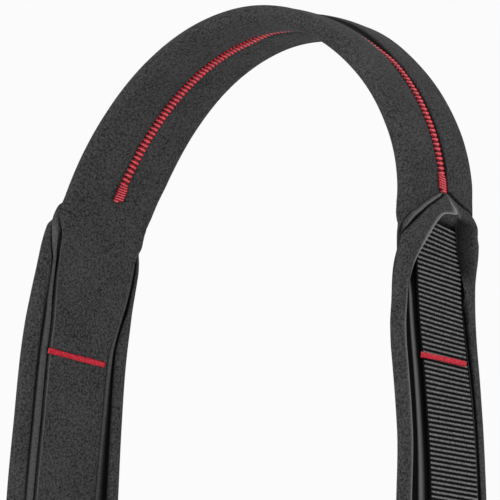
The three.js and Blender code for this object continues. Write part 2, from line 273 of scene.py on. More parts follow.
def closed_volume(points: np.ndarray, quads: np.ndarray) -> float:
    """Sum of the tetrahedra from the origin to each quad's two triangles, times six."""
    a, b, c, d = (points[quads[:, corner]] for corner in range(4))
    return float(np.sum(a * np.cross(b, c)) + np.sum(a * np.cross(c, d)))


def lofted_mesh(name: str, grid: np.ndarray, tones: Sizes) -> bpy.types.Object:
    """A closed tube through rings of points, with a flat face over each end.

    Args:
        name: the piece's name.
        grid: points in metres, rings by ring points by 3.
        tones: attribute name to one value for each point, rings by ring points.

    Returns:
        The new object, at the origin, smooth but for its end faces.
    """
    rings, count = grid.shape[:2]
    points = grid.reshape(-1, 3)
    ring, here = np.meshgrid(np.arange(rings - 1), np.arange(count), indexing="ij")
    following = (here + 1) % count
    near, far = ring * count, (ring + 1) * count
    quads = np.stack([near + here, near + following, far + following, far + here], -1).reshape(-1, 4)
    ends = [np.arange(count)[::-1], (rings - 1) * count + np.arange(count)]
    if closed_volume(points - points.mean(0), quads) < 0:
        quads = quads[:, ::-1]
        ends = [end[::-1] for end in ends]
    mesh = bpy.data.meshes.new(name)
    mesh.from_pydata(points.tolist(), [], quads.tolist() + [end.tolist() for end in ends])
    smooth = np.ones(len(mesh.polygons), bool)
    smooth[-len(ends):] = False
    mesh.polygons.foreach_set("use_smooth", smooth)
    for tone, values in tones.items():
        layer = mesh.attributes.new(tone, "FLOAT", "POINT")
        spread = np.broadcast_to(values, grid.shape[:2])
        layer.data.foreach_set("value", spread.ravel().astype(np.float32))
    mesh.update()
    piece = bpy.data.objects.new(name, mesh)
    bpy.context.scene.collection.objects.link(piece)
    return piece


def corner_cut(loop: np.ndarray, times: int) -> np.ndarray:
    """Rounds closed loops: each edge keeps the points at a quarter and three quarters of it.

    Args:
        loop: rings by points by values, the tones after the two coordinates.
        times: how often the corners are cut; each time doubles the points.

    Returns:
        The rounded loops.
    """
    for _ in range(times):
        following = np.roll(loop, -1, axis=1)
        pair = np.stack([0.75 * loop + 0.25 * following, 0.25 * loop + 0.75 * following], axis=2)
        loop = pair.reshape(loop.shape[0], -1, loop.shape[2])
    return loop


def srgb(code: str) -> tuple[float, float, float, float]:
    """Turns an sRGB colour into a linear one by the standard's curve, straight near black.

    Args:
        code: six hex digits, such as "2e2f31".

    Returns:
        Linear red, green, blue and alpha.
    """
    channels = np.array([int(code[first:first + 2], 16) for first in (0, 2, 4)]) / 255
    linear = np.where(channels <= 0.04045, channels / 12.92, ((channels + 0.055) / 1.055) ** 2.4)
    return (*linear.tolist(), 1.0)


def add_node(
    tree: bpy.types.NodeTree, kind: str, settings: dict | None = None, inputs: dict | None = None
) -> bpy.types.Node:
    """Adds a node with its settings and inputs.

    Args:
        tree: the material's or world's node tree.
        kind: the node's type name.
        settings: property name to value.
        inputs: socket name or number to a value, or to an output socket to link.

    Returns:
        The new node.
    """
    node = tree.nodes.new(kind)
    for key, value in (settings or {}).items():
        setattr(node, key, value)
    for key, value in (inputs or {}).items():
        if isinstance(value, bpy.types.NodeSocket):
            tree.links.new(value, node.inputs[key])
        else:
            node.inputs[key].default_value = value
    return node


def new_material(
    finish: Finish, roughness: float, specular: float
) -> tuple[bpy.types.Material, bpy.types.NodeTree, bpy.types.Node]:
    """Starts a material with its shader's plain values.

    Args:
        finish: what the material is named for.
        roughness: the shader's roughness.
        specular: the shader's specular level.

    Returns:
        The material, its node tree and its shader node.
    """
    material = bpy.data.materials.new(finish.value)
    material.use_nodes = True
    tree = material.node_tree
    shader = tree.nodes["Principled BSDF"]
    shader.inputs["Roughness"].default_value = roughness
    shader.inputs["Specular IOR Level"].default_value = specular
    return material, tree, shader


@dataclass(frozen=True)
class NeopreneFinish:
    """Neoprene foam with a knitted face: matt charcoal with a fine grain, with a pale painted highlight and
    near-black painted shade laid on it.
    """

    # Foamed rubber with a thin knit bonded to its face. The knit's loops scatter the light, so the face is
    # matt and flecked, with hardly a highlight. A pale painted highlight is laid on lit cut edges, rims and
    # lips, and near-black painted shade in creases, gaps and pockets.
    # The loops are too fine to show, so their grain is drawn about twice as coarse.
    face: str = "202021"
    fleck: str = "4a4a4b"
    # edge: the colour of the painted highlight on lit cut edges, rims and lips.
    edge: str = "8b8a88"
    # shadow: the colour of the painted shade in creases, gaps and pockets.
    shadow: str = "020202"
    grain_mm: float = 0.75
    grain_depth_mm: float = 0.12
    grain_relief: float = 0.55
    cloud_mm: float = 14.0
    cloud_weight: float = 0.15
    fleck_range: tuple[float, float] = (0.41, 0.73)
    roughness: float = 0.95
    specular: float = 0.15

    def material(self) -> bpy.types.Material:
        """Builds the material from noise at the size of the knit and of its faint clouds.

        Returns:
            The material, which reads the attributes for painted highlight and painted shade.
        """
        material, tree, shader = new_material(Finish.NEOPRENE, self.roughness, self.specular)
        where = add_node(tree, "ShaderNodeTexCoord").outputs["Object"]
        grain = add_node(
            tree, "ShaderNodeTexNoise",
            inputs={"Vector": where, "Scale": 1 / (self.grain_mm * MM), "Detail": 2.0, "Roughness": 0.6},
        ).outputs["Fac"]
        cloud = add_node(
            tree, "ShaderNodeTexNoise",
            inputs={"Vector": where, "Scale": 1 / (self.cloud_mm * MM), "Detail": 3.0},
        ).outputs["Fac"]
        both = add_node(
            tree, "ShaderNodeMath", {"operation": "MULTIPLY_ADD"},
            {0: cloud, 1: self.cloud_weight, 2: grain},
        ).outputs[0]
        low, high = self.fleck_range
        share = add_node(
            tree, "ShaderNodeMapRange", inputs={"Value": both, "From Min": low, "From Max": high}
        ).outputs[0]
        colour = srgb(self.face)
        layers = [(share, self.fleck)]
        # Painted highlight in the pale edge colour, then painted shade in near black, over the flecked face.
        for attribute, paint in (("painted_highlight", self.edge), ("painted_shade", self.shadow)):
            tone = add_node(tree, "ShaderNodeAttribute", {"attribute_name": attribute}).outputs["Fac"]
            layers.append((tone, paint))
        for factor, paint in layers:
            colour = add_node(
                tree, "ShaderNodeMix", {"data_type": "RGBA"},
                {"Factor": factor, MIX_A: colour, MIX_B: srgb(paint)},
            ).outputs[MIX_OUT]
        relief = add_node(
            tree, "ShaderNodeBump",
            inputs={"Strength": self.grain_relief, "Distance": self.grain_depth_mm * MM, "Height": grain},
        ).outputs["Normal"]
        tree.links.new(colour, shader.inputs["Base Color"])
        tree.links.new(relief, shader.inputs["Normal"])
        return material


@dataclass(frozen=True)
class WebbingFinish:
    """Woven nylon: dull grey ribs with fine yarn on them, and near-black painted shade between the ribs."""

    # Filament nylon woven with thick weft cords, which stand up as ribs. The yarn on a rib's back catches the
    # light and the gaps between the ribs hold none, so the colour follows rib height: grey on the ribs and
    # near-black painted shade between them.
    # One yarn is too fine to show, so the yarn's noise is drawn about three times as coarse.
    rib: str = "868688"
    # Near-black painted shade in the gaps between the ribs.
    painted_shade: str = "030303"
    yarn_mm: float = 0.7
    yarn_depth_mm: float = 0.08
    yarn_relief: float = 0.5
    yarn_weight: float = 0.35
    rib_range: tuple[float, float] = (0.98, 1.26)
    roughness: float = 0.75
    specular: float = 0.12

    def material(self) -> bpy.types.Material:
        """Builds the material from the rib height and fine yarn noise.

        Returns:
            The material, which reads the attribute rib_height.
        """
        material, tree, shader = new_material(Finish.WEBBING, self.roughness, self.specular)
        where = add_node(tree, "ShaderNodeTexCoord").outputs["Object"]
        yarn = add_node(
            tree, "ShaderNodeTexNoise",
            inputs={"Vector": where, "Scale": 1 / (self.yarn_mm * MM), "Detail": 2.0},
        ).outputs["Fac"]
        height = add_node(tree, "ShaderNodeAttribute", {"attribute_name": "rib_height"}).outputs["Fac"]
        lift = add_node(
            tree, "ShaderNodeMath", {"operation": "MULTIPLY_ADD"},
            {0: yarn, 1: self.yarn_weight, 2: height},
        ).outputs[0]
        low, high = self.rib_range
        share = add_node(
            tree, "ShaderNodeMapRange", inputs={"Value": lift, "From Min": low, "From Max": high}
        ).outputs[0]
        # Painted shade between the ribs and grey on the ribs, by rib height.
        colour = add_node(
            tree, "ShaderNodeMix", {"data_type": "RGBA"},
            {"Factor": share, MIX_A: srgb(self.painted_shade), MIX_B: srgb(self.rib)},
        ).outputs[MIX_OUT]
        relief = add_node(
            tree, "ShaderNodeBump",
            inputs={"Strength": self.yarn_relief, "Distance": self.yarn_depth_mm * MM, "Height": yarn},
        ).outputs["Normal"]
        tree.links.new(colour, shader.inputs["Base Color"])
        tree.links.new(relief, shader.inputs["Normal"])
        return material


@dataclass(frozen=True)
class ThreadFinish:
    """Twisted polyester thread: crimson, with a rosy painted highlight where it is lit, and painted shade on
    one leg and between its plies.
    """

    # Filament polyester, dyed and twisted from plies. The smooth filaments give a soft gloss, painted as a
    # rosy highlight, and the two legs of a stitch lie at different angles to the light, so one leg is painted
    # lit and the other painted in shade.
    # The plies are too fine to show, so their noise is drawn nearly as coarse as the thread.
    # lit is the rosy painted highlight, body the thread's crimson, deep the painted shade.
    lit: str = "ea6068"
    body: str = "cc1a32"
    deep: str = "5a0410"
    twist_mm: float = 0.5
    leg_weight: float = 0.75
    body_range: tuple[float, float] = (0.5, 0.95)
    lit_range: tuple[float, float] = (0.95, 1.35)
    roughness: float = 0.42
    specular: float = 0.22

    def material(self) -> bpy.types.Material:
        """Builds the material from noise at the size of the thread's twist.

        Returns:
            The material, which reads each leg's painted light.
        """
        material, tree, shader = new_material(Finish.THREAD, self.roughness, self.specular)
        where = add_node(tree, "ShaderNodeTexCoord").outputs["Object"]
        ply = add_node(
            tree, "ShaderNodeTexNoise",
            inputs={"Vector": where, "Scale": 1 / (self.twist_mm * MM), "Detail": 1.0},
        ).outputs["Fac"]
        leg_light = add_node(tree, "ShaderNodeAttribute", {"attribute_name": "leg_light"}).outputs["Fac"]
        both = add_node(
            tree, "ShaderNodeMath", {"operation": "MULTIPLY_ADD"}, {0: leg_light, 1: self.leg_weight, 2: ply}
        ).outputs[0]
        colour = srgb(self.deep)
        # Painted shade, then the crimson, then the painted highlight, by leg and ply.
        for paint, (low, high) in ((self.body, self.body_range), (self.lit, self.lit_range)):
            share = add_node(
                tree, "ShaderNodeMapRange", inputs={"Value": both, "From Min": low, "From Max": high}
            ).outputs[0]
            colour = add_node(
                tree, "ShaderNodeMix", {"data_type": "RGBA"},
                {"Factor": share, MIX_A: colour, MIX_B: srgb(paint)},
            ).outputs[MIX_OUT]
        tree.links.new(colour, shader.inputs["Base Color"])
        return material


@dataclass(frozen=True)
class FloorFinish:
    """Pale matt card: an even, soft white that throws light back up."""

    # Uncoated card: its fibres scatter the light evenly, so it has no highlight.
    colour: str = "eeeeee"
    roughness: float = 0.9
    specular: float = 0.5

    def material(self) -> bpy.types.Material:
        """Builds the plain material.

        Returns:
            The material.
        """
        material, _, shader = new_material(Finish.FLOOR, self.roughness, self.specular)
        shader.inputs["Base Color"].default_value = srgb(self.colour)
        return material


@dataclass
class Shop:
    """What every piece is made with: the path and the finishes."""

    path: ArmPath = field(default_factory=ArmPath)
    materials: dict[Finish, bpy.types.Material] = field(default_factory=dict)

    def __post_init__(self) -> None:
        """Makes each finish once."""
        self.materials[Finish.NEOPRENE] = NeopreneFinish().material()
        self.materials[Finish.WEBBING] = WebbingFinish().material()
        self.materials[Finish.THREAD] = ThreadFinish().material()
        self.materials[Finish.FLOOR] = FloorFinish().material()

    def dress(self, piece: bpy.types.Object, finish: Finish, slot: str | None = None) -> bpy.types.Object:
        """Gives a piece its material and its body.

        Args:
            piece: the finished mesh object.
            finish: its material.
            slot: not used; thread leaves it out.

        Returns:
            The piece.
        """
        piece.data.materials.append(self.materials[finish])
        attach(piece, BODY)
        LOG.info("%s: %d faces of %s", piece.name, len(piece.data.polygons), finish.value)
        return piece


SEAM_END = 119.3
PAD_END = 247.0
LOWER_START = 150.0
LOWER_FADE = 16.0


def lower_share(along: np.ndarray) -> np.ndarray:
    """How far an arm has settled into its even lower stretch, from 0 to 1."""
    return smooth_step((np.abs(along) - LOWER_START) / LOWER_FADE)


# half: the flat run from the middle; radius and fold: the fold's radius and its angle in degrees;
# cut: the sheet's whole length from the middle to its cut edge.
EDGE_COLUMNS = ("along", "half", "radius", "fold", "cut")


@dataclass
class NeckPad:
    """One neoprene sheet with both long edges folded to the outer face, where they meet."""

    shop: Shop
    ply: float = 3.3
    inner_level: float = -1.85
    fold_half: float = 15.2
    # Past this turn, in radians, the sheet has come round to the outer face.
    flap_turn: float = 1.0
    lobe_bulge: float = 0.45
    seam_pinch: float = 0.8
    seam_width: float = 2.2
    seam_lead: float = 4.0
    seam_fade: float = 18.0
    crown_pinch: float = 0.95
    crown_width: float = 1.5
    crease_y: float = 2.1
    crease_width: float = 0.8
    crease_depth: float = 0.8
    # Painted shade in the crease behind the seam, on the back half.
    crease_painted_shade: float = 1.7
    shoulder_y: float = 2.9
    shoulder_width: float = 0.5
    # Painted highlight on the front half's shoulder beside the seam, over the crown.
    shoulder_highlight: float = 0.5
    # Painted contact shadow where the hood's edge lies on the pad's back half.
    hood_shade_width: float = 0.8
    hood_shade_tone: float = 1.6
    # Painted highlight on the cut's outer half, and painted shade on the rest of the cut, less on the
    # tongue's front.
    cut_lit: float = 0.45
    cut_painted_shade: float = 0.9
    tongue_painted_shade: float = 0.1
    # Within this share of half the ply a point is in the cut, and beyond it on a face.
    face_share: float = 0.98
    corner: float = 0.4
    corner_points: int = 4
    cut_points: int = 3
    sheet_points: int = 64
    stretches: tuple[tuple[float, float, float], ...] = (
        (0, 110, 1.6), (110, 155, 0.7), (155, 180, 2.0), (180, PAD_END, 4.0)
    )
    # Where the edge of the wing's hood lies on the back half, by distance from the middle; a painted contact
    # shadow runs along it.
    hood_edge: Table = Table(
        ("across", "along"),
        ((0, 117), (2.5, 118.5), (6.7, 120.4), (9.4, 121.5), (14.2, 122.8), (18, 123.6)),
    )
    crown_reach: dict[Face, tuple[float, float]] = field(
        default_factory=lambda: {Face.INNER: (13.0, 30.0), Face.OUTER: (42.0, 66.0)}
    )
    front: Table = Table(
        EDGE_COLUMNS,
        (
            (0, 15.6, 1.85, 180, 36.9),
            (125, 15.6, 1.85, 180, 36.9),
            (128, 15.6, 1.85, 180, 30),
            (131, 15.6, 1.85, 180, 23.6),
            (132, 15.4, 1.85, 165, 20.9),
            (133.2, 15, 1.9, 130, 19.4),
            (135, 14.2, 2, 90, 17.4),
            (139.5, 14.2, 2.4, 36, 15.7),
            (144, 13.8, 4, 22, 15.3),
            (148, 13.4, 8, 11, 14.9),
            (152, 13.2, 16, 5, 14.6),
            (160, 11.9, 30, 3, 13.2),
            (170, 11, 60, 1.2, 12.1),
            (180, 10.9, 60, 1, 11.9),
            (206, 10.3, 60, 1, 11.3),
            (PAD_END, 10.8, 60, 1, 11.8),
        ),
    )
    back: Table = Table(
        EDGE_COLUMNS,
        (
            (0, 14.6, 2.3, 180, 36.3),
            (25, 14.6, 2.3, 180, 36.3),
            (60, 14.6, 1.9, 180, 35),
            (110, 15, 1.9, 180, 35.8),
            (SEAM_END, 14.6, 1.85, 180, 34.9),
            (124, 14.6, 1.85, 180, 34.9),
            (126.2, 14.6, 1.85, 180, 28),
            (128, 14.6, 1.85, 180, 21.7),
            (129.6, 14.6, 1.85, 140, 19.1),
            (131, 14.6, 2, 95, 17.9),
            (135, 14.8, 2.4, 60, 17.3),
            (140, 14.2, 3, 35, 16),
            (148, 14, 8, 12, 15.7),
            (160, 13.6, 30, 3, 15.2),
            (170, 12.8, 60, 1.2, 14),
            (180, 11.4, 60, 1, 12.4),
            (206, 12.4, 60, 1, 13.4),
            (PAD_END, 13, 60, 1, 14),
        ),
    )

    def swell(self, along: np.ndarray) -> np.ndarray:
        """How far the seam shapes the band: 1 along it, falling to 0 past its end."""
        return 1 - smooth_step((np.abs(along) - SEAM_END + self.seam_lead) / self.seam_fade)

    def lobe(self, along: np.ndarray, y: np.ndarray) -> np.ndarray:
        """How far each half bulges between seam and fold: a squared sine of y."""
        share = np.minimum(np.abs(y) / self.fold_half, 1)
        return self.lobe_bulge * self.swell(along) * np.sin(np.pi * share) ** 2

    def crown_share(self, along: np.ndarray, face: Face) -> np.ndarray:
        """How far the seam sinks into a narrower valley, as it does over the crown."""
        start, end = self.crown_reach[face]
        return 1 - smooth_step((np.abs(along) - start) / (end - start))

    def crease(self, y: np.ndarray) -> np.ndarray:
        """How far y is in the crease behind the seam, from 0 to 1: a bell curve."""
        return bump_at(y, self.crease_y, self.crease_width)

    def valley(self, along: np.ndarray, y: np.ndarray, face: Face) -> np.ndarray:
        """Depth of the seam's valley: a bell curve across the strap, deeper over the crown.

        Args:
            along: lengths from the crown.
            y: distances across the strap.
            face: which face.

        Returns:
            Depths in millimetres, where the seam shapes the band fully.
        """
        deep = self.crown_share(along, face)
        width = mix(self.seam_width, self.crown_width, deep)
        return (self.seam_pinch + self.crown_pinch * deep) * bump_at(y, 0, width)

    def profile(self) -> tuple[np.ndarray, np.ndarray, np.ndarray]:
        """Half of the sheet's outline, from the middle of one side round the cut to the other.

        Returns:
            Share of the cut length, distance back from the cut in millimetres, and share
            of half the ply, from 1 on the fold's outside to -1 on its inside.
        """
        run = np.linspace(0, 1, self.sheet_points)
        turn = np.linspace(0, np.pi / 2, self.corner_points + 1)
        first, second = turn[1:], turn[:-1]
        rise = self.corner / (self.ply / 2)
        face = np.linspace(1 - rise, rise - 1, self.cut_points + 2)[1:-1]
        share = np.concatenate([run, np.ones(2 * self.corner_points + self.cut_points), run[::-1]])
        back = np.concatenate([
            np.full(run.size, self.corner), self.corner * (1 - np.sin(first)), np.zeros(face.size),
            self.corner * (1 - np.cos(second)), np.full(run.size, self.corner),
        ])
        side = np.concatenate([
            np.ones(run.size), 1 - rise * (1 - np.cos(first)), face,
            rise * (1 - np.sin(second)) - 1, -np.ones(run.size),
        ])
        return share, back, side

    def face_tones(self, along: np.ndarray, y: np.ndarray, side: Side) -> tuple[np.ndarray, np.ndarray]:
        """Painted highlight and painted shade on the outer face.

        Over the crown the seam's valley has painted shade, and the front half's shoulder beside it a painted
        highlight. On the back half the crease behind the seam has painted shade, and so does the line where
        the edge of the wing's hood lies on the pad, as a painted contact shadow.

        Args:
            along: lengths from the crown.
            y: distances from the middle.
            side: which half.

        Returns:
            Painted highlight, and painted shade.
        """
        swell = self.swell(along)
        crown = swell * self.crown_share(along, Face.OUTER)
        # Painted shade in the seam's valley over the crown.
        dark = crown * bump_at(y, 0, self.crown_width)
        if side is Side.FRONT:
            return self.shoulder_highlight * crown * bump_at(y, self.shoulder_y, self.shoulder_width), dark
        crease = self.crease_painted_shade * swell * self.crease(y)
        edge = self.hood_edge.at(y.ravel(), smooth=False)["along"].reshape(y.shape)
        shade = self.hood_shade_tone * bump_at(np.abs(along), edge, self.hood_shade_width)
        return np.zeros_like(y), np.clip(np.maximum.reduce([dark, crease, shade]), 0, 1)

    def cut_shade(self, along: np.ndarray, side: Side) -> np.ndarray:
        """Painted shade on the unlit part of the cut: little on the tongue's front, which lies open."""
        open_share = lower_share(along) if side is Side.FRONT else np.zeros_like(along)
        return mix(self.cut_painted_shade, self.tongue_painted_shade, open_share)

    def half_section(self, along: np.ndarray, rows: Table, side: Side) -> tuple[np.ndarray, np.ndarray]:
        """One half of the section: a flat run, a round fold and a flat flap up to the cut.

        The fold turns the sheet by its angle on an arc; each half swells by a squared sine
        of y, and the seam pulls a bell-shaped valley into both faces.

        Args:
            along: lengths from the crown.
            rows: the edge's table.
            side: which long edge.

        Returns:
            Section points, and the painted highlight and painted shade on each.
        """
        edge = {name: values[:, None] for name, values in rows.at(along).items()}
        stops = along[:, None]
        share, back, offset = self.profile()
        distance = np.clip(edge["cut"] * share - back * share, 0, None)
        arc = edge["radius"] * np.radians(edge["fold"])
        turn = np.clip(distance - edge["half"], 0, arc) / edge["radius"]
        flat = np.minimum(distance, edge["half"])
        flap = np.clip(distance - edge["half"] - arc, 0, None)
        y = flat + edge["radius"] * np.sin(turn) + flap * np.cos(turn)
        n = self.inner_level + edge["radius"] * (1 - np.cos(turn)) + flap * np.sin(turn)
        outer = turn > self.flap_turn
        dent = np.where(outer, self.valley(stops, y, Face.OUTER), self.valley(stops, y, Face.INNER))
        if side is Side.BACK:
            dent = dent + self.crease_depth * outer * self.crease(y)
        outside = np.clip(offset, 0, 1)
        pull = self.lobe(stops, y) - outside * self.swell(stops) * dent
        reach = offset * self.ply / 2 + np.abs(np.cos(turn)) * pull
        points = np.stack([side.value * (y + np.sin(turn) * reach), n - np.cos(turn) * reach], -1)
        # Painted highlight on the lit outer half of the cut and on the front shoulder; painted shade on the
        # rest of the cut and on the outer face's valley, crease and hood contact line.
        face_lit, face_dark = self.face_tones(stops, y, side)
        shown = outer * (offset > 0)
        cut = np.where(np.abs(offset) < self.face_share, 1.0, 0.0)
        cut_lit = self.cut_lit * cut * outside
        lit = np.maximum(cut_lit, shown * face_lit)
        dark = np.maximum(shown * face_dark, self.cut_shade(stops, side) * (cut - cut_lit))
        return points, np.stack([lit, dark], -1)

    def section(self, along: np.ndarray) -> tuple[np.ndarray, np.ndarray]:
        """Whole closed sections and their tones.

        Args:
            along: lengths from the crown.

        Returns:
            Rings by points by 2 for the section, and as many tones.
        """
        front, front_tone = self.half_section(along, self.front, Side.FRONT)
        rear, rear_tone = self.half_section(along, self.back, Side.BACK)
        loop = np.concatenate([front[:, ::-1], rear[:, 1:-1]], axis=1)
        return loop, np.concatenate([front_tone[:, ::-1], rear_tone[:, 1:-1]], axis=1)

    def surface_level(self, along: np.ndarray, y: np.ndarray, face: Face) -> np.ndarray:
        """Height of the pad's face beside the seam, where thread lies on it.

        Args:
            along: lengths from the crown.
            y: distances across the strap.
            face: which face.

        Returns:
            Distances outwards from the middle line.
        """
        dent = self.swell(along) * self.valley(along, y, face)
        if face is Face.OUTER:
            dent = dent + self.crease_depth * self.crease(y)
        return face.value * (self.ply / 2 - self.inner_level + self.lobe(along, y) - dent)

    def build(self) -> bpy.types.Object:
        """Lofts the sections from the left tongue's end over the crown to the right one's.

        Returns:
            The pad.
        """
        arm = lengths_between(*self.stretches)
        along = np.concatenate([-arm[:0:-1], arm])
        loop, tone = self.section(along)
        grid = self.shop.path.place(along[:, None], loop[..., 0], loop[..., 1])
        # Painted highlight and painted shade on the pad.
        tones = {"painted_highlight": tone[..., 0], "painted_shade": tone[..., 1]}
        piece = lofted_mesh("neck_pad_neoprene", grid, tones)
        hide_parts("neck_pad")
        return self.shop.dress(piece, Finish.NEOPRENE, "neoprene")


WING_START = 119.9
NOSE_OPEN = 126.6
NOSE_END = 128.4
WEB_START = 131.0
WEB_FULL = 134.5
WEB_END = 272.0
WEB_HALF = 12.2
WEB_CENTRE = 0.4
WEB_HIGH = 3.5


def points_at(y: np.ndarray, n: np.ndarray) -> np.ndarray:
    """One section point in every ring, from its two coordinates."""
    return np.stack(np.broadcast_arrays(y, n), -1)


def with_tone(points: np.ndarray, tone: Tone) -> np.ndarray:
    """Puts the painted highlight and painted shade after a section point's coordinates in every ring."""
    lit, dark = (np.broadcast_to(value, points.shape[:1]) for value in tone)
    return np.column_stack([points, lit, dark])


@dataclass(frozen=True)
class WingTones:
    """The painted highlight and painted shade on each part of a wing, by length along the arm and by long
    edge.
    """

    arm: Arm
    # The hood's rim with a painted highlight over painted shade in its gap, and the duller rim past the hood,
    # with painted shade on its ledge and, on the back edge lower down, behind it.
    hood_end: float = 134.0
    tone_fade: float = 8.0
    hood_gap_shade: float = 0.9
    hood_ledge_lit: float = 0.55
    low_lit: float = 0.1
    rim_lit: float = 0.2
    ledge_shade: float = 0.5
    behind_shade: float = 1.2
    # Painted shade in the crease beside the rolled edge, and how far it spreads over the arc.
    crease_shade: float = 1.5
    crease_spread: float = 0.6
    lower_spread: tuple[float, float] = (1.4, 0.8)
    # The lapels: painted highlight on the front one's end and lip, painted shade on the back one's inside,
    # and painted shade on the back roll's start in the nose.
    roof_lit: float = 0.6
    lip_spread: float = 0.5
    far_lip_lit: float = 0.35
    far_lapel_shade: float = 0.9
    top_fade: float = 2.0
    wall_end: float = 146.0
    nose_shade: float = 0.9
    nose_fade: float = 3.0
    nose_points: int = 6
    # Painted shade on the right rim where it wraps round the pad's front fold, up to an angle on the arc in
    # degrees.
    wrap_shade: float = 1.1
    wrap_start: float = 136.0
    wrap_rise: float = 3.0
    wrap_end: float = 150.0
    wrap_angle: float = -42.0
    wrap_turn: float = 34.0
    # The pocket under the lapel, and the gutter and the strip once the lip has drawn back: painted highlight
    # under the lip and on the strip, painted shade in the pocket, the gutter, behind the strip and on the
    # floor. Last, painted shade in the gap at the rim's base, by long edge.
    pocket_mouth: float = 128.6
    mouth_fade: float = 2.5
    under_lip_lit: float = 0.3
    gutter_shade: float = 1.5
    strip_back_shade: float = 0.9
    floor_shade: float = 1.2
    strip_lit: dict[Side, float] = field(default_factory=lambda: {Side.FRONT: 0.8, Side.BACK: 0.1})
    gap_shade: dict[Side, float] = field(default_factory=lambda: {Side.FRONT: 0.2, Side.BACK: 1.2})

    def depth(self, along: np.ndarray) -> np.ndarray:
        """Painted shade in the pocket: its mouth under the V's top is shallow, so the shade there is grey."""
        return smooth_step((along - self.pocket_mouth) / self.mouth_fade)

    def wrap(self, along: np.ndarray, side: Side) -> np.ndarray:
        """Painted shade on the right wing's rim where it wraps round the pad's front fold.

        Args:
            along: lengths from the crown.
            side: which long edge.

        Returns:
            The painted shade, 0 on the left wing and along the back edge.
        """
        if self.arm is Arm.LEFT or side is Side.BACK:
            return np.zeros_like(along)
        rising = smooth_step((along - self.wrap_start) / self.wrap_rise)
        return self.wrap_shade * rising * (1 - smooth_step((along - self.wrap_end) / self.tone_fade))

    def lip(self, along: np.ndarray, side: Side) -> Tone:
        """Painted highlight on the lapel's free edge, along the front and on the back only at the top, and
        painted shade on the back lapel below the top.

        Args:
            along: lengths from the crown.
            side: which long edge.

        Returns:
            Painted highlight, and painted shade.
        """
        if side is Side.FRONT:
            return np.ones_like(along), np.zeros_like(along)
        top = 1 - smooth_step((along - NOSE_OPEN) / self.top_fade)
        wall = (1 - top) * (1 - smooth_step((along - self.wall_end) / self.tone_fade))
        return self.far_lip_lit * top, self.far_lapel_shade * wall

    def rim(self, along: np.ndarray, side: Side) -> dict[str, Tone]:
        """Painted highlight and painted shade from the base's end to the crease.

        On the hood the front rim is a band of painted highlight over painted shade in the gap; past it the
        rim lies on the inner face, where its painted highlight is dull. The crease beside it has painted
        shade all along.

        Args:
            along: lengths from the crown.
            side: which long edge.

        Returns:
            Part to its painted highlight and painted shade.
        """
        hood = 1 - smooth_step((along - self.hood_end) / self.tone_fade)
        past = 1 - hood
        wrap = self.wrap(along, side)
        behind = self.behind_shade * lower_share(along) * (side is Side.BACK)
        ledge_lit = mix(self.rim_lit, self.hood_ledge_lit, hood) * (1 - wrap / 2)
        return {
            "gap": (0, mix(self.gap_shade[side], self.hood_gap_shade, hood)),
            "low": (self.low_lit * past, self.hood_gap_shade * hood + behind),
            "high": (self.rim_lit * past, wrap),
            "ledge": (ledge_lit, np.maximum(self.ledge_shade * past, wrap)),
            "crease": (0, self.crease_shade),
        }

    def roll(self, along: np.ndarray, angle: np.ndarray, share: np.ndarray, side: Side) -> np.ndarray:
        """Painted highlight and painted shade on the rolled edge's arc and on the lapel.

        The arc has painted shade beside the crease; on the front edge that widens down the arm, and the arc's
        end has a painted highlight there. The back lapel's painted shade grows towards its lip as a square
        root, and the back arc's start has painted shade in the nose.

        Args:
            along: lengths from the crown.
            angle: the arc's angles in radians, rings by points.
            share: how far each of the lapel's points lies from the arc towards the lip.
            side: which long edge.

        Returns:
            Rings by points by 2: painted highlight, painted shade.
        """
        lip_lit, lip_dark = self.lip(along, side)
        lower = lower_share(along)
        arc = angle.shape[1]
        lit, dark = np.zeros((2, along.size, arc + share.size))
        dark[:, 0] = self.crease_spread
        if side is Side.FRONT:
            beside, beyond = self.lower_spread
            dark[:, 0] = mix(self.crease_spread, beside, lower)
            dark[:, 1] = beyond * lower
            turned = 1 - smooth_step((np.degrees(angle) - self.wrap_angle) / self.wrap_turn)
            dark[:, :arc] = np.maximum(dark[:, :arc], self.wrap(along, side)[:, None] * turned)
            lit[:, -1] = self.lip_spread * lip_lit
            lit[:, arc - 1] = self.roof_lit * lower
        else:
            dark[:, arc:] = np.sqrt(share) * lip_dark[:, None]
            nose = self.nose_shade * (1 - smooth_step((along - NOSE_END) / self.nose_fade))
            dark[:, :self.nose_points] = np.maximum(dark[:, :self.nose_points], nose[:, None])
        return np.stack([lit, dark], -1)

    def pocket(self, along: np.ndarray, side: Side) -> tuple[list[Tone], list[Tone]]:
        """Painted highlight and painted shade on the way back from the lip to the floor.

        Args:
            along: lengths from the crown.
            side: which long edge.

        Returns:
            Five tones while the lapel covers the webbing, and five where it has drawn back.
        """
        covered = [(self.under_lip_lit, 0)] + 4 * [(0, self.depth(along))]
        gutter = 2 * [(0, self.gutter_shade)]
        strip = [(self.strip_lit[side], 0), (0, self.strip_back_shade)]
        return covered, gutter + strip + [(0, self.floor_shade)]


# base: half width of the base's inner side; low and high: the rim's two corners; start: the angle
# in degrees at which the rolled edge's arc begins.
RIM_COLUMNS = ("along", "base", "low_y", "low_n", "high_y", "high_n", "start")
# roll: the rolled edge's middle and radius; lip: the lapel's free edge; strip: the top corner of
# the narrow strip that shows between the lip and the webbing.
WING_COLUMNS = ("along", "roll_y", "roll_n", "roll_r", "lip_y", "lip_n", "strip_y", "strip_n")


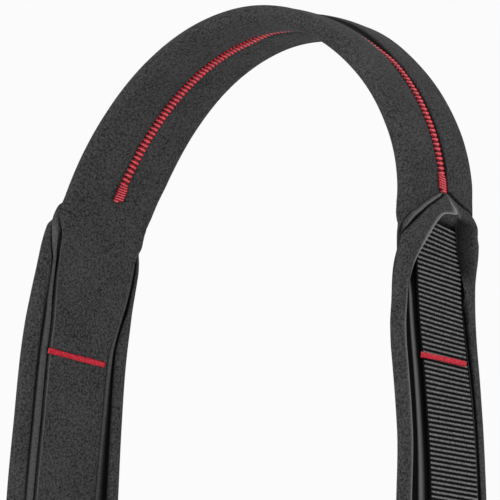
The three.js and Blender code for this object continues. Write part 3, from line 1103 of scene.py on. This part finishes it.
@dataclass
class Wing:
    """A neoprene base with rolled long edges and lapels that start as a hood and open in a V."""

    shop: Shop
    arm: Arm
    nose_level: float = 4.0
    opening: float = 1.6
    base_start: float = 130.6
    base_inner: float = 0.25
    base_ply: float = 1.35
    lapel_ply: float = 2.2
    lip_round: float = 0.3
    lapel_swell: float = 0.05
    crease_depth: float = 1.5
    crease_share: float = 0.6
    ledge_share: tuple[float, float] = (0.55, 0.05)
    shoulder_share: float = 0.4
    pocket_gap: float = 0.4
    pocket_wall: float = 0.6
    strip_gap: float = 1.1
    strip_lean: float = 0.15
    gutter: float = 0.9
    bare_span: float = 1.6
    lead: dict[Arm, float] = field(default_factory=lambda: {Arm.LEFT: 2.0, Arm.RIGHT: 0.0})
    lead_end: float = 136.0
    lead_fade: float = 16.0
    sliver: float = 0.05
    arc_steps: int = 14
    lapel_steps: int = 6
    corner_cuts: int = 2
    stretches: tuple[tuple[float, float, float], ...] = (
        (WING_START, 155, 0.5), (155, 185, 2.0), (185, PAD_END, 4.0)
    )
    front_rim: Table = Table(
        RIM_COLUMNS,
        (
            (WING_START, 0.6, 1.9, 4, 1.9, 4.5, 15),
            (121.5, 1.6, 4.7, 4, 4.7, 4.7, 20),
            (123.4, 3.6, 7.4, 4, 7.3, 4.9, 20),
            (126.6, 6.4, 11, 4, 10.9, 5.1, 18),
            (128, 6.4, 12.5, 4, 12.4, 5.2, 15),
            (129.8, 10.1, 14.5, 4, 14.4, 5.4, 12),
            (131.8, 13.4, 16.9, 4, 17, 5.5, 10),
            (133.2, 14.2, 17.6, 2.9, 18, 5.2, 8),
            (135, 12.9, 18, 0.9, 18.7, 4.6, 3),
            (137.5, 13.4, 18, 0.5, 19.2, 3.4, -12),
            (139.5, 15.2, 17.6, -0.6, 19.2, 1.9, -28),
            (144, 15.4, 16.6, -1.5, 18.2, -0.8, -62),
            (148, 15.1, 15.7, -1.9, 16.8, -1.9, -95),
            (160, 13.8, 14, -2, 15.9, -2.1, -120),
            (170, 12.45, 12.65, -2, 15.2, -2.2, -138),
            (180, 12.2, 12.35, -2, 15.2, -2.3, -144),
            (206, 11.6, 11.75, -2, 15, -2.3, -144),
            (PAD_END, 12.1, 12.25, -2.2, 15.6, -2.6, -156),
        ),
    )
    back_rim: Table = Table(
        RIM_COLUMNS,
        (
            (WING_START, 0.8, 3, 4, 1.3, 4.1, -20),
            (121.5, 2.2, 7, 4, 3.4, 4.1, -25),
            (123, 4.6, 10.6, 4, 6.2, 4.1, -39),
            (124.2, 7, 14.8, 3.9, 10.5, 4.1, -50),
            (126.2, 6.5, 16, 3.4, 13.3, 4.05, -62),
            (128, 12.4, 15.4, 3.4, 14.2, 4, -69),
            (128.8, 12.8, 13.9, 4, 14.5, 4, -69),
            (129.6, 13.4, 14.6, 2.9, 15.1, 3, -59),
            (131, 13.9, 15, 1.7, 15.5, 1.9, -64),
            (135, 14, 15.6, 1, 16.2, 0.9, -74),
            (140, 15.2, 16.1, 0.2, 16.7, 0, -75),
            (144, 15.7, 16.7, -0.7, 17.1, -0.8, -78),
            (148, 15.9, 16.6, -1.2, 17, -1.4, -82),
            (160, 15.6, 15.9, -1.9, 16.7, -2.1, -86),
            (170, 14.4, 14.6, -2, 15.6, -2.2, -122),
            (180, 12.85, 13, -2, 14.8, -2.3, -136),
            (206, 13.85, 14, -2, 15.4, -2.4, -138),
            (PAD_END, 14.45, 14.6, -2.2, 15.9, -2.6, -138),
        ),
    )
    front: Table = Table(
        WING_COLUMNS,
        (
            (WING_START, 0.6, 4.8, 0.35, 0.15, 5.2, 13, 0.9),
            (121.5, 1.1, 5.1, 0.6, -1, 5.9, 13, 0.9),
            (123.4, 3.1, 5.4, 1, -2.4, 6.5, 13, 0.9),
            (NOSE_OPEN, 6.7, 5.6, 1.2, -4.8, 6.9, 13, 0.9),
            (127.3, 7.5, 5.65, 1.25, -1.4, 6.9, 13, 0.9),
            (128, 8.2, 5.7, 1.3, 1, 6.9, 13, 0.9),
            (129.8, 9.7, 5.7, 1.5, 3.3, 6.9, 13, 0.9),
            (131.8, 11.2, 5.5, 1.9, 4.9, 6.9, 13, 0.9),
            (133.2, 12.2, 5.1, 2.2, 5.9, 6.8, 13, 0.9),
            (135, 13.4, 4.6, 2.5, 7.1, 6.8, 13, 0.9),
            (137.5, 15.2, 4.05, 2.9, 8.6, 6.8, 13, 0.9),
            (139.5, 16.5, 3.6, 3.2, 9.9, 6.7, 13, 0.9),
            (144, 17.2, 2.6, 3.3, 12.6, 6, 13, 0.9),
            (148, 17.7, 1.6, 3.25, 14.5, 5.1, 13.4, 0.9),
            (152, 17.9, 1, 3.3, 15.8, 4.4, 13.8, 1),
            (160, 18.2, 0.4, 3.4, 17.8, 3.4, 14.9, 1.9),
            (170, 19, -0.5, 3.4, 18.6, 2.4, 15.2, 1.9),
            (180, 19.2, -0.9, 3.4, 18.8, 1.9, 15.4, 1.9),
            (206, 19, -0.9, 3.4, 18.5, 1.8, 15.6, 1.9),
            (235, 19.9, -1.9, 3.4, 19.4, 1, 16, 1.7),
            (PAD_END, 20, -2.2, 3.4, 19.5, 0.8, 16, 1.7),
        ),
    )
    back: Table = Table(
        WING_COLUMNS,
        (
            (WING_START, 1.2, 4.7, 0.45, 0.15, 5.2, 14, 0.9),
            (121.5, 3.2, 4.9, 0.75, 1.3, 5.9, 14, 0.9),
            (123, 6, 5.2, 1.05, 2.4, 6.5, 14, 0.9),
            (124.2, 10.4, 5.4, 1.35, 3.3, 6.7, 14, 0.9),
            (NOSE_OPEN, 13.7, 5.5, 1.55, 5.1, 6.9, 14, 0.9),
            (128, 14.4, 5.6, 1.7, 6, 6.6, 14, 0.9),
            (131.8, 15.5, 4.5, 2.3, 7, 5.2, 14, 0.9),
            (135, 16.5, 3.8, 2.9, 8.2, 4.6, 14, 0.9),
            (139.5, 17.1, 3.3, 3, 9.2, 4.4, 14, 0.9),
            (144, 17.9, 2.3, 3, 10.6, 4.3, 14, 0.9),
            (148, 18.2, 1.6, 3, 11.8, 4.3, 14, 0.9),
            (152, 18, 1.2, 3.2, 12.9, 4.4, 14, 1),
            (160, 17.8, 0.8, 3.4, 14.6, 4.5, 14.1, 2.2),
            (170, 18, 0.1, 3.4, 15.9, 3.5, 14.3, 2.5),
            (180, 18.1, -0.4, 3.4, 16.2, 3.1, 14.5, 2.5),
            (206, 18.8, -2.5, 3.4, 16.8, 1.4, 14.8, 2),
            (235, 19.6, -4.2, 3.4, 17.4, 0.3, 15, 1.2),
            (PAD_END, 19.9, -4.5, 3.4, 17.6, 0.2, 15, 1),
        ),
    )

    @property
    def tones(self) -> WingTones:
        """The painted highlight and painted shade of this arm's wing."""
        return WingTones(self.arm)

    def opened(self, along: np.ndarray) -> np.ndarray:
        """How far the hood's lips have parted, from 0 to 1."""
        return smooth_step((along - NOSE_OPEN) / self.opening)

    def inner_side(self, along: np.ndarray) -> np.ndarray:
        """Level of the base's inner side: on the pad's flaps in the nose, then on its inner ply."""
        settled = smooth_step((along - NOSE_END) / (self.base_start - NOSE_END))
        return mix(self.nose_level, self.base_inner, settled)

    def floor(self, along: np.ndarray, roll: Sizes) -> np.ndarray:
        """Level of the base's outer side, which is just under the lips until they part."""
        return mix(roll["lip_n"] - self.lip_round, self.inner_side(along) + self.base_ply, self.opened(along))

    def crease(self, before: np.ndarray, after: np.ndarray, radius: np.ndarray) -> np.ndarray:
        """The bottom of the crease: halfway between its edges and square to them, into the wing.

        Args:
            before: the crease's edge on the rim's ledge, in every ring.
            after: its edge on the rolled edge's arc.
            radius: the arc's radius.

        Returns:
            One point in every ring.
        """
        depth = np.minimum(self.crease_depth, self.crease_share * radius)[:, None]
        gap = after - before
        inward = gap[:, ::-1] * (-1, 1) / np.linalg.norm(gap, axis=1, keepdims=True)
        return (before + after) / 2 + depth * inward

    def covered_way(
        self, along: np.ndarray, roll: Sizes, rim: Sizes, roof: np.ndarray, web_edge: float
    ) -> list[np.ndarray]:
        """The way from the lip round the pocket under the lapel, where the webbing lies.

        Args:
            along: lengths from the crown.
            roll: the rolled edge's sizes there.
            rim: the rim's sizes there.
            roof: where the lapel leaves the roll.
            web_edge: how far out the webbing's edge lies.

        Returns:
            Five points in every ring.
        """
        opened, floor = self.opened(along), self.floor(along, roll)
        lip_y, lip_n = roll["lip_y"], roll["lip_n"]
        clear = lip_n - WEB_HIGH - self.pocket_gap
        ply = mix(self.sliver, np.minimum(self.lapel_ply, clear), opened)
        ply = np.minimum(ply, lip_n - floor - 2 * self.sliver)
        room = np.minimum(roll["roll_y"] - roll["roll_r"] / 2, rim["base"] - self.pocket_wall)
        wanted = opened * np.minimum(room, web_edge + self.pocket_gap)
        depth = np.maximum(lip_y + self.lip_round, wanted)
        above = mix(roof[:, 1], lip_n, (roof[:, 0] - depth) / (roof[:, 0] - lip_y))
        ceiling = np.maximum(np.minimum(lip_n, above) - ply, floor + self.sliver)
        return [
            points_at(lip_y + self.sliver, lip_n - ply),
            points_at(depth, ceiling),
            points_at(depth, mix(floor, ceiling, 2 / 3)),
            points_at(depth, mix(floor, ceiling, 1 / 3)),
            points_at(depth - self.sliver, floor),
        ]

    def bare_way(self, along: np.ndarray, roll: Sizes, wall: float) -> list[np.ndarray]:
        """The way from a drawn-back lip down to a gutter, over a narrow strip and to the floor.

        Args:
            along: lengths from the crown.
            roll: the rolled edge's sizes there.
            wall: how far out the strip's wall beside the webbing lies.

        Returns:
            Five points in every ring.
        """
        gutter = np.minimum(self.gutter, roll["lip_n"] - self.gutter)
        strip = np.minimum(roll["strip_y"], roll["lip_y"] - self.strip_gap)
        return [
            points_at(roll["lip_y"] + self.strip_lean, gutter),
            points_at(strip, gutter),
            points_at(strip - self.strip_lean, roll["strip_n"]),
            points_at(wall + self.sliver, roll["strip_n"]),
            points_at(wall, self.floor(along, roll)),
        ]

    def pocket(
        self, along: np.ndarray, roll: Sizes, rim: Sizes, roof: np.ndarray, side: Side
    ) -> list[np.ndarray]:
        """The way back from the lip to the base's outer side.

        The covered way and the bare one are mixed by how far the lip has drawn back.

        Args:
            along: lengths from the crown.
            roll: the rolled edge's sizes there.
            rim: the rim's sizes there.
            roof: where the lapel leaves the roll.
            side: which long edge.

        Returns:
            Five points in every ring, with their painted highlight and painted shade.
        """
        web_edge = WEB_HALF + side.value * WEB_CENTRE
        wall = web_edge + self.strip_gap
        bare = smooth_step((roll["lip_y"] - wall) / self.bare_span)[:, None]
        ways = zip(
            self.covered_way(along, roll, rim, roof, web_edge),
            self.bare_way(along, roll, wall),
            *self.tones.pocket(along, side),
        )
        return [mix(with_tone(a, tone), with_tone(b, bare_tone), bare) for a, b, tone, bare_tone in ways]

    def half_section(self, along: np.ndarray, rim_rows: Table, rows: Table, side: Side) -> np.ndarray:
        """Half of the section, from the base's end on the inner side round the rolled edge.

        The rim and a crease lead into an arc, the rolled edge; the lapel runs from it to
        the lip along a shallow parabola, and the pocket leads back to the floor.

        Args:
            along: lengths from the crown.
            rim_rows: the rim's table.
            rows: the rolled edge's table.
            side: which long edge.

        Returns:
            Rings by points by 4: y counted outwards, n, the painted highlight and the painted shade.
        """
        rim, roll = rim_rows.at(along), rows.at(along)
        lip_y, lip_n = roll["lip_y"], roll["lip_n"]
        inner = self.inner_side(along)
        slope = np.arctan2(lip_n - roll["roll_n"] - roll["roll_r"], roll["roll_y"] - lip_y)
        start, end = np.radians(rim["start"]), np.pi / 2 - np.maximum(slope, 0)
        angle = mix(start[:, None], end[:, None], np.linspace(0, 1, self.arc_steps + 1))
        middle = points_at(roll["roll_y"], roll["roll_n"])[:, None]
        arc = middle + roll["roll_r"][:, None, None] * points_at(np.cos(angle), np.sin(angle))
        roof = arc[:, -1]
        share = np.linspace(0, 1, self.lapel_steps + 1)[1:-1]
        lapel = mix(roof[:, None], points_at(lip_y, lip_n)[:, None], share[:, None])
        swell = self.lapel_swell * (roof[:, 0] - lip_y)
        lapel[..., 1] += 4 * swell[:, None] * (share * (1 - share))
        low, high = points_at(rim["low_y"], rim["low_n"]), points_at(rim["high_y"], rim["high_n"])
        ledge = mix(high, arc[:, 0], mix(*self.ledge_share, lower_share(along))[:, None])
        tone = self.tones.rim(along, side)
        rising = [
            with_tone(points_at(rim["base"], inner), tone["gap"]),
            with_tone(points_at(rim["base"] + self.sliver, np.maximum(rim["low_n"], inner)), tone["gap"]),
            with_tone(low, tone["low"]),
            with_tone(mix(low, high, self.shoulder_share), tone["high"]),
            with_tone(high, tone["high"]),
            with_tone(ledge, tone["ledge"]),
            with_tone(self.crease(ledge, arc[:, 0], roll["roll_r"]), tone["crease"]),
        ]
        rolled = np.concatenate([arc, lapel], axis=1)
        rolled = np.concatenate([rolled, self.tones.roll(along, angle, share, side)], axis=2)
        rounding = self.lip_round * self.opened(along) + self.sliver
        lip_tone = self.tones.lip(along, side)
        lip = [
            with_tone(points_at(lip_y + rounding, lip_n), lip_tone),
            with_tone(points_at(lip_y, lip_n - rounding), lip_tone),
        ]
        inside = self.pocket(along, roll, rim, roof, side)
        return np.concatenate([np.stack(rising, 1), rolled, np.stack(lip + inside, 1)], axis=1)

    def section(self, along: np.ndarray) -> np.ndarray:
        """Whole closed sections, with their corners rounded by corner cutting.

        Args:
            along: lengths from the crown.

        Returns:
            Rings by points by 4: y, n, the painted highlight and the painted shade.
        """
        front = self.half_section(along, self.front_rim, self.front, Side.FRONT)
        rear = self.half_section(along, self.back_rim, self.back, Side.BACK)
        lips_middle = (self.back.at(along)["lip_y"] - self.front.at(along)["lip_y"]) / 2
        below, above = np.zeros((2, along.size, 1, 4))
        below[:, 0, 1] = front[:, 0, 1]
        above[:, 0, 0] = (1 - self.opened(along)) * lips_middle
        above[:, 0, 1] = front[:, -1, 1]
        # Painted shade where the lips meet over the pocket.
        above[:, 0, 3] = self.tones.depth(along)
        mirrored = (front * (-1, 1, 1, 1))[:, ::-1]
        return corner_cut(np.concatenate([below, rear, above, mirrored], axis=1), self.corner_cuts)

    def build(self) -> bpy.types.Object:
        """Lofts the wing down its arm; the left one's nose leads the right one's a little.

        Returns:
            The wing.
        """
        along = lengths_between(*self.stretches)
        led = along + self.lead[self.arm] * (1 - smooth_step((along - self.lead_end) / self.lead_fade))
        loop = self.section(led)
        grid = self.shop.path.place(self.arm.value * along[:, None], loop[..., 0], loop[..., 1])
        # Painted highlight, and painted shade cut off at 1.
        tones = {"painted_highlight": loop[..., 2], "painted_shade": np.clip(loop[..., 3], 0, 1)}
        piece = lofted_mesh(f"{self.arm.label}_wing_neoprene", grid, tones)
        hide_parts(f"{self.arm.label}_wing")
        return self.shop.dress(piece, Finish.NEOPRENE, "neoprene")


@dataclass
class Webbing:
    """A ribbed strip of woven nylon with rounded selvedges and a narrower hidden end."""

    shop: Shop
    arm: Arm
    narrow: float = 7.0
    low: float = 2.0
    edge: float = 0.6
    rib_pitch: float = 1.75
    rib_depth: float = 0.75
    rib_points: int = 10
    across_points: int = 26
    selvedge_points: int = 5
    under_step: int = 4
    rib_skew: Table = Table(
        ("along", "skew"),
        ((WEB_START, 0.02), (150, 0.06), (165, 0.12), (182, 0.125), (205, 0.09), (WEB_END, 0.08)),
    )

    def rib(self, along: np.ndarray, y: np.ndarray) -> np.ndarray:
        """Height of the ribs: the square root of a sine's size along the strip, a little off square.

        Args:
            along: lengths from the crown.
            y: distances across the webbing.

        Returns:
            Heights from 0 to 1.
        """
        skew = self.rib_skew.at(along.ravel())["skew"].reshape(along.shape)
        wave = np.abs(np.sin(np.pi * (along - WEB_START - skew * y) / self.rib_pitch))
        return np.sqrt(wave)

    def outline(self) -> tuple[np.ndarray, np.ndarray]:
        """The plain section: a flat top, half-round selvedges and a flat underside.

        Returns:
            Distances across the webbing, and outwards.
        """
        turn = np.linspace(0, np.pi, self.selvedge_points + 2)[1:-1]
        top = np.linspace(self.edge - WEB_HALF, WEB_HALF - self.edge, self.across_points)
        under = top[::-self.under_step]
        selvedge = WEB_HALF - self.edge + self.edge * np.sin(turn)
        middle, rise = (WEB_HIGH + self.low) / 2, (WEB_HIGH - self.low) / 2 * np.cos(turn)
        levels = [np.full(top.size, WEB_HIGH), middle + rise, np.full(under.size, self.low), middle - rise]
        return np.concatenate([top, selvedge, under, -selvedge]), np.concatenate(levels)

    def build(self) -> bpy.types.Object:
        """Lofts the outline down its arm; the ribs sink in by the square of the height.

        Returns:
            The webbing.
        """
        count = round((WEB_END - WEB_START) / self.rib_pitch * self.rib_points)
        along = np.linspace(WEB_START, WEB_END, count + 1)[:, None]
        full = smooth_step((along - WEB_START) / (WEB_FULL - WEB_START))
        shrink = mix(self.narrow, WEB_HALF, full) / WEB_HALF
        y, n = (values[None] for values in self.outline())
        share = np.clip((n - self.low) / (WEB_HIGH - self.low), 0, 1) ** 2
        rib = self.rib(along, y) * share
        level = n - self.rib_depth * (share - rib)
        grid = self.shop.path.place(self.arm.value * along, y * shrink + WEB_CENTRE, level)
        piece = lofted_mesh(f"{self.arm.label}_ribbed_webbing", grid, {"rib_height": rib})
        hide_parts(f"{self.arm.label}_webbing")
        return self.shop.dress(piece, Finish.WEBBING, "webbing")


def thread_tube(path: ArmPath, line: np.ndarray, radius: float, sides: int = 8) -> np.ndarray:
    """A round thread along a line of strap coordinates: circles square to the line's tangent.

    Args:
        path: carries the thread into the row frame.
        line: points of (along, y, n).
        radius: the thread's radius in millimetres.
        sides: points round it.

    Returns:
        Rings of points in metres.
    """
    tangent = np.gradient(line, axis=0)
    tangent /= np.linalg.norm(tangent, axis=1, keepdims=True)
    side = np.cross(tangent, [0.0, 0.0, 1.0])
    side /= np.linalg.norm(side, axis=1, keepdims=True)
    up = np.cross(side, tangent)
    turn = np.linspace(0, 2 * np.pi, sides, endpoint=False)
    ring = np.cos(turn)[None, :, None] * side[:, None] + np.sin(turn)[None, :, None] * up[:, None]
    points = line[:, None] + radius * ring
    return path.place(points[..., 0], points[..., 1], points[..., 2])


def triangle_wave(phase: np.ndarray) -> np.ndarray:
    """A wave of period 1 that runs straight from 1 down to -1 and back."""
    return 2 * np.abs(2 * (phase % 1) - 1) - 1


def first_leg(phase: np.ndarray) -> np.ndarray:
    """True on the first of a stitch's two legs."""
    return phase % 1 < 0.5


@dataclass
class SeamThread:
    """The red zigzag down the pad's middle, with a dense lock at each end."""

    shop: Shop
    pad: NeckPad
    face: Face
    half_width: float = 1.5
    pitch: float = 1.95
    lock_pitch: float = 0.95
    lock_length: float = 6.5
    lock_width: float = 1.9
    lock_fade: float = 1.5
    lock_lift: float = 0.25
    run_on: dict[Face, float] = field(default_factory=lambda: {Face.INNER: 2.1, Face.OUTER: -0.7})
    radius: float = 0.6
    lift_share: float = 0.8
    blunt_tip: float = 1.06
    dip: float = 0.25
    dip_power: int = 8
    points_per_pitch: int = 14
    count_points: int = 40001

    @property
    def end(self) -> float:
        """Where the lock ends: a little further down on the inner face."""
        return SEAM_END + self.run_on[self.face]

    @property
    def lock_start(self) -> float:
        """Where the dense stitches begin."""
        return self.end - self.lock_length

    def phase(self, along: np.ndarray) -> np.ndarray:
        """Stitches counted from the crown, which come faster in the locks.

        Args:
            along: lengths from the crown.

        Returns:
            Counts, negative on the left arm.
        """
        reach = np.abs(along)
        even = np.minimum(reach, self.lock_start) / self.pitch
        dense = np.clip(reach - self.lock_start, 0, None) / self.lock_pitch
        return np.sign(along) * (even + dense)

    def build(self) -> bpy.types.Object:
        """Runs the thread from lock to lock; it dips where the needle went in.

        Returns:
            The thread.
        """
        fine = np.linspace(-self.end, self.end, self.count_points)
        counts = self.phase(fine)
        stops = np.linspace(counts[0], counts[-1], int((counts[-1] - counts[0]) * self.points_per_pitch))
        along = np.interp(stops, counts, fine)
        locked = smooth_step((np.abs(along) - self.lock_start) / self.lock_fade)
        wave = triangle_wave(stops)
        y = mix(self.half_width, self.lock_width, locked) * np.clip(wave * self.blunt_tip, -1, 1)
        dip = self.dip * np.abs(wave) ** self.dip_power
        lift = self.radius * self.lift_share + self.lock_lift * locked - dip
        drawn_in = 1 - self.pad.crown_share(along, self.face)
        level = self.pad.surface_level(along, y * drawn_in, self.face)
        line = np.stack([along, y, level + self.face.value * lift], -1)
        # The first leg of each stitch is painted lit, the second painted in shade.
        leg_light = first_leg(stops).astype(float)[:, None]
        tube = thread_tube(self.shop.path, line, self.radius)
        piece = lofted_mesh(f"{self.face.label}_seam_zigzag", tube, {"leg_light": leg_light})
        return self.shop.dress(piece, Finish.THREAD)


@dataclass
class BarTack:
    """A red bar of close stitches across an arm, through the webbing, the wing and the pad."""

    shop: Shop
    arm: Arm
    face: Face
    start_y: float = -13.2
    end_y: float = 10.9
    middle: dict[Arm, float] = field(default_factory=lambda: {Arm.RIGHT: 181.95, Arm.LEFT: 181.1})
    skew: dict[Arm, float] = field(default_factory=lambda: {Arm.RIGHT: 0.102, Arm.LEFT: 0.175})
    level: float = 3.45
    lift: float = 0.45
    dip: float = 0.5
    dip_power: int = 6
    half_width: float = 0.95
    pitch: float = 0.62
    radius: float = 0.34
    # How far each leg of the bar is painted lit.
    leg_light_levels: tuple[float, float] = (0.68, 0.35)
    points_per_pitch: int = 14

    def build(self) -> bpy.types.Object:
        """Runs the thread to and fro along the arm while it works across it.

        Returns:
            The bar tack.
        """
        count = (self.end_y - self.start_y) / self.pitch
        phase = np.linspace(0, count, int(count * self.points_per_pitch))
        y = self.start_y + phase * self.pitch
        wave = triangle_wave(phase)
        lift = self.lift - self.dip * np.abs(wave) ** self.dip_power
        along = self.middle[self.arm] + self.skew[self.arm] * y + self.half_width * wave
        line = np.stack([self.arm.value * along, y, self.face.value * (self.level + lift)], -1)
        # Each leg is painted lit by its own share.
        leg_light = np.where(first_leg(phase), *self.leg_light_levels)[:, None]
        tube = thread_tube(self.shop.path, line, self.radius)
        piece = lofted_mesh(f"{self.arm.label}_{self.face.label}_bar_tack", tube, {"leg_light": leg_light})
        return self.shop.dress(piece, Finish.THREAD)


@dataclass(frozen=True)
class Lamp:
    """A soft square lamp: its place and size in metres, and its power in watts."""

    name: str
    place: tuple[float, float, float]
    size: float
    power: float


@dataclass(frozen=True)
class Studio:
    """White sweep, soft lamps and the photograph's far, level camera."""

    shop: Shop
    azimuth: float = 50.65
    elevation: float = 0.35
    target: tuple[float, float, float] = (-0.0110, -0.0128, -0.0800)
    frame_width: float = 0.1825
    distance: float = 4.0
    clip: tuple[float, float] = (0.1, 50.0)
    sweep: str = "fbfbfb"
    sweep_strength: float = 1.0
    key: Lamp = Lamp("key", (-0.5, -1.2, 1.4), 1.0, 4.0)
    fill: Lamp = Lamp("fill", (1.1, -1.1, -0.3), 0.8, 4.0)
    floor_level: float = -0.33
    floor_half: float = 2.0

    def toward_camera(self) -> Vector:
        """Unit vector from the target to the camera."""
        turn, rise = math.radians(self.azimuth), math.radians(self.elevation)
        return Vector((math.sin(turn) * math.cos(rise), -math.cos(turn) * math.cos(rise), math.sin(rise)))

    def aim(self, seen: bpy.types.Object, place: Vector) -> None:
        """Puts a camera or a lamp at its place, where it looks at the target.

        Args:
            seen: the new object.
            place: where it goes.
        """
        seen.location = place
        seen.rotation_mode = "QUATERNION"
        seen.rotation_quaternion = (Vector(self.target) - place).to_track_quat("-Z", "Y")
        bpy.context.scene.collection.objects.link(seen)

    def camera(self) -> None:
        """Sets a parallel view that frames the photograph's width, which shows no perspective."""
        data = bpy.data.cameras.new("studio_camera")
        data.type = "ORTHO"
        data.ortho_scale = self.frame_width
        data.clip_start, data.clip_end = self.clip
        camera = bpy.data.objects.new("studio_camera", data)
        self.aim(camera, Vector(self.target) + self.toward_camera() * self.distance)
        bpy.context.scene.camera = camera

    def light(self) -> None:
        """Lights the strap from all round, with a key from the upper left and a low fill in front."""
        world = bpy.data.worlds.new("white_sweep")
        bpy.context.scene.world = world
        world.use_nodes = True
        sky = world.node_tree.nodes["Background"]
        sky.inputs["Color"].default_value = srgb(self.sweep)
        sky.inputs["Strength"].default_value = self.sweep_strength
        bpy.context.scene.view_settings.view_transform = "Standard"
        for lamp in (self.key, self.fill):
            data = bpy.data.lights.new(lamp.name, "AREA")
            data.size = lamp.size
            data.energy = lamp.power
            self.aim(bpy.data.objects.new(lamp.name, data), Vector(lamp.place))

    def floor(self) -> None:
        """A pale floor well below the strap, which is held up."""
        half, level = self.floor_half, self.floor_level
        corners = [(-half, -half, level), (half, -half, level), (half, half, level), (-half, half, level)]
        mesh = bpy.data.meshes.new("studio_floor")
        mesh.from_pydata(corners, [], [(0, 1, 2, 3)])
        mesh.materials.append(self.shop.materials[Finish.FLOOR])
        floor = bpy.data.objects.new("studio_floor", mesh)
        bpy.context.scene.collection.objects.link(floor)

    def build(self) -> None:
        """Makes the camera, the lights and the floor."""
        self.camera()
        self.light()
        self.floor()


def main() -> None:
    """Builds the strap's pieces in order, then the studio."""
    logging.basicConfig(level=logging.INFO, format="%(message)s")
    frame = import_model()
    LOG.info("CAD nodes: %s", ", ".join(frame["nodes"]))
    shop = Shop()
    pad = NeckPad(shop)
    pad.build()
    for arm in Arm:
        Wing(shop, arm).build()
        Webbing(shop, arm).build()
        for face in Face:
            BarTack(shop, arm, face).build()
    for face in Face:
        SeamThread(shop, pad, face).build()
    Studio(shop).build()


if __name__ == "__main__":
    main()
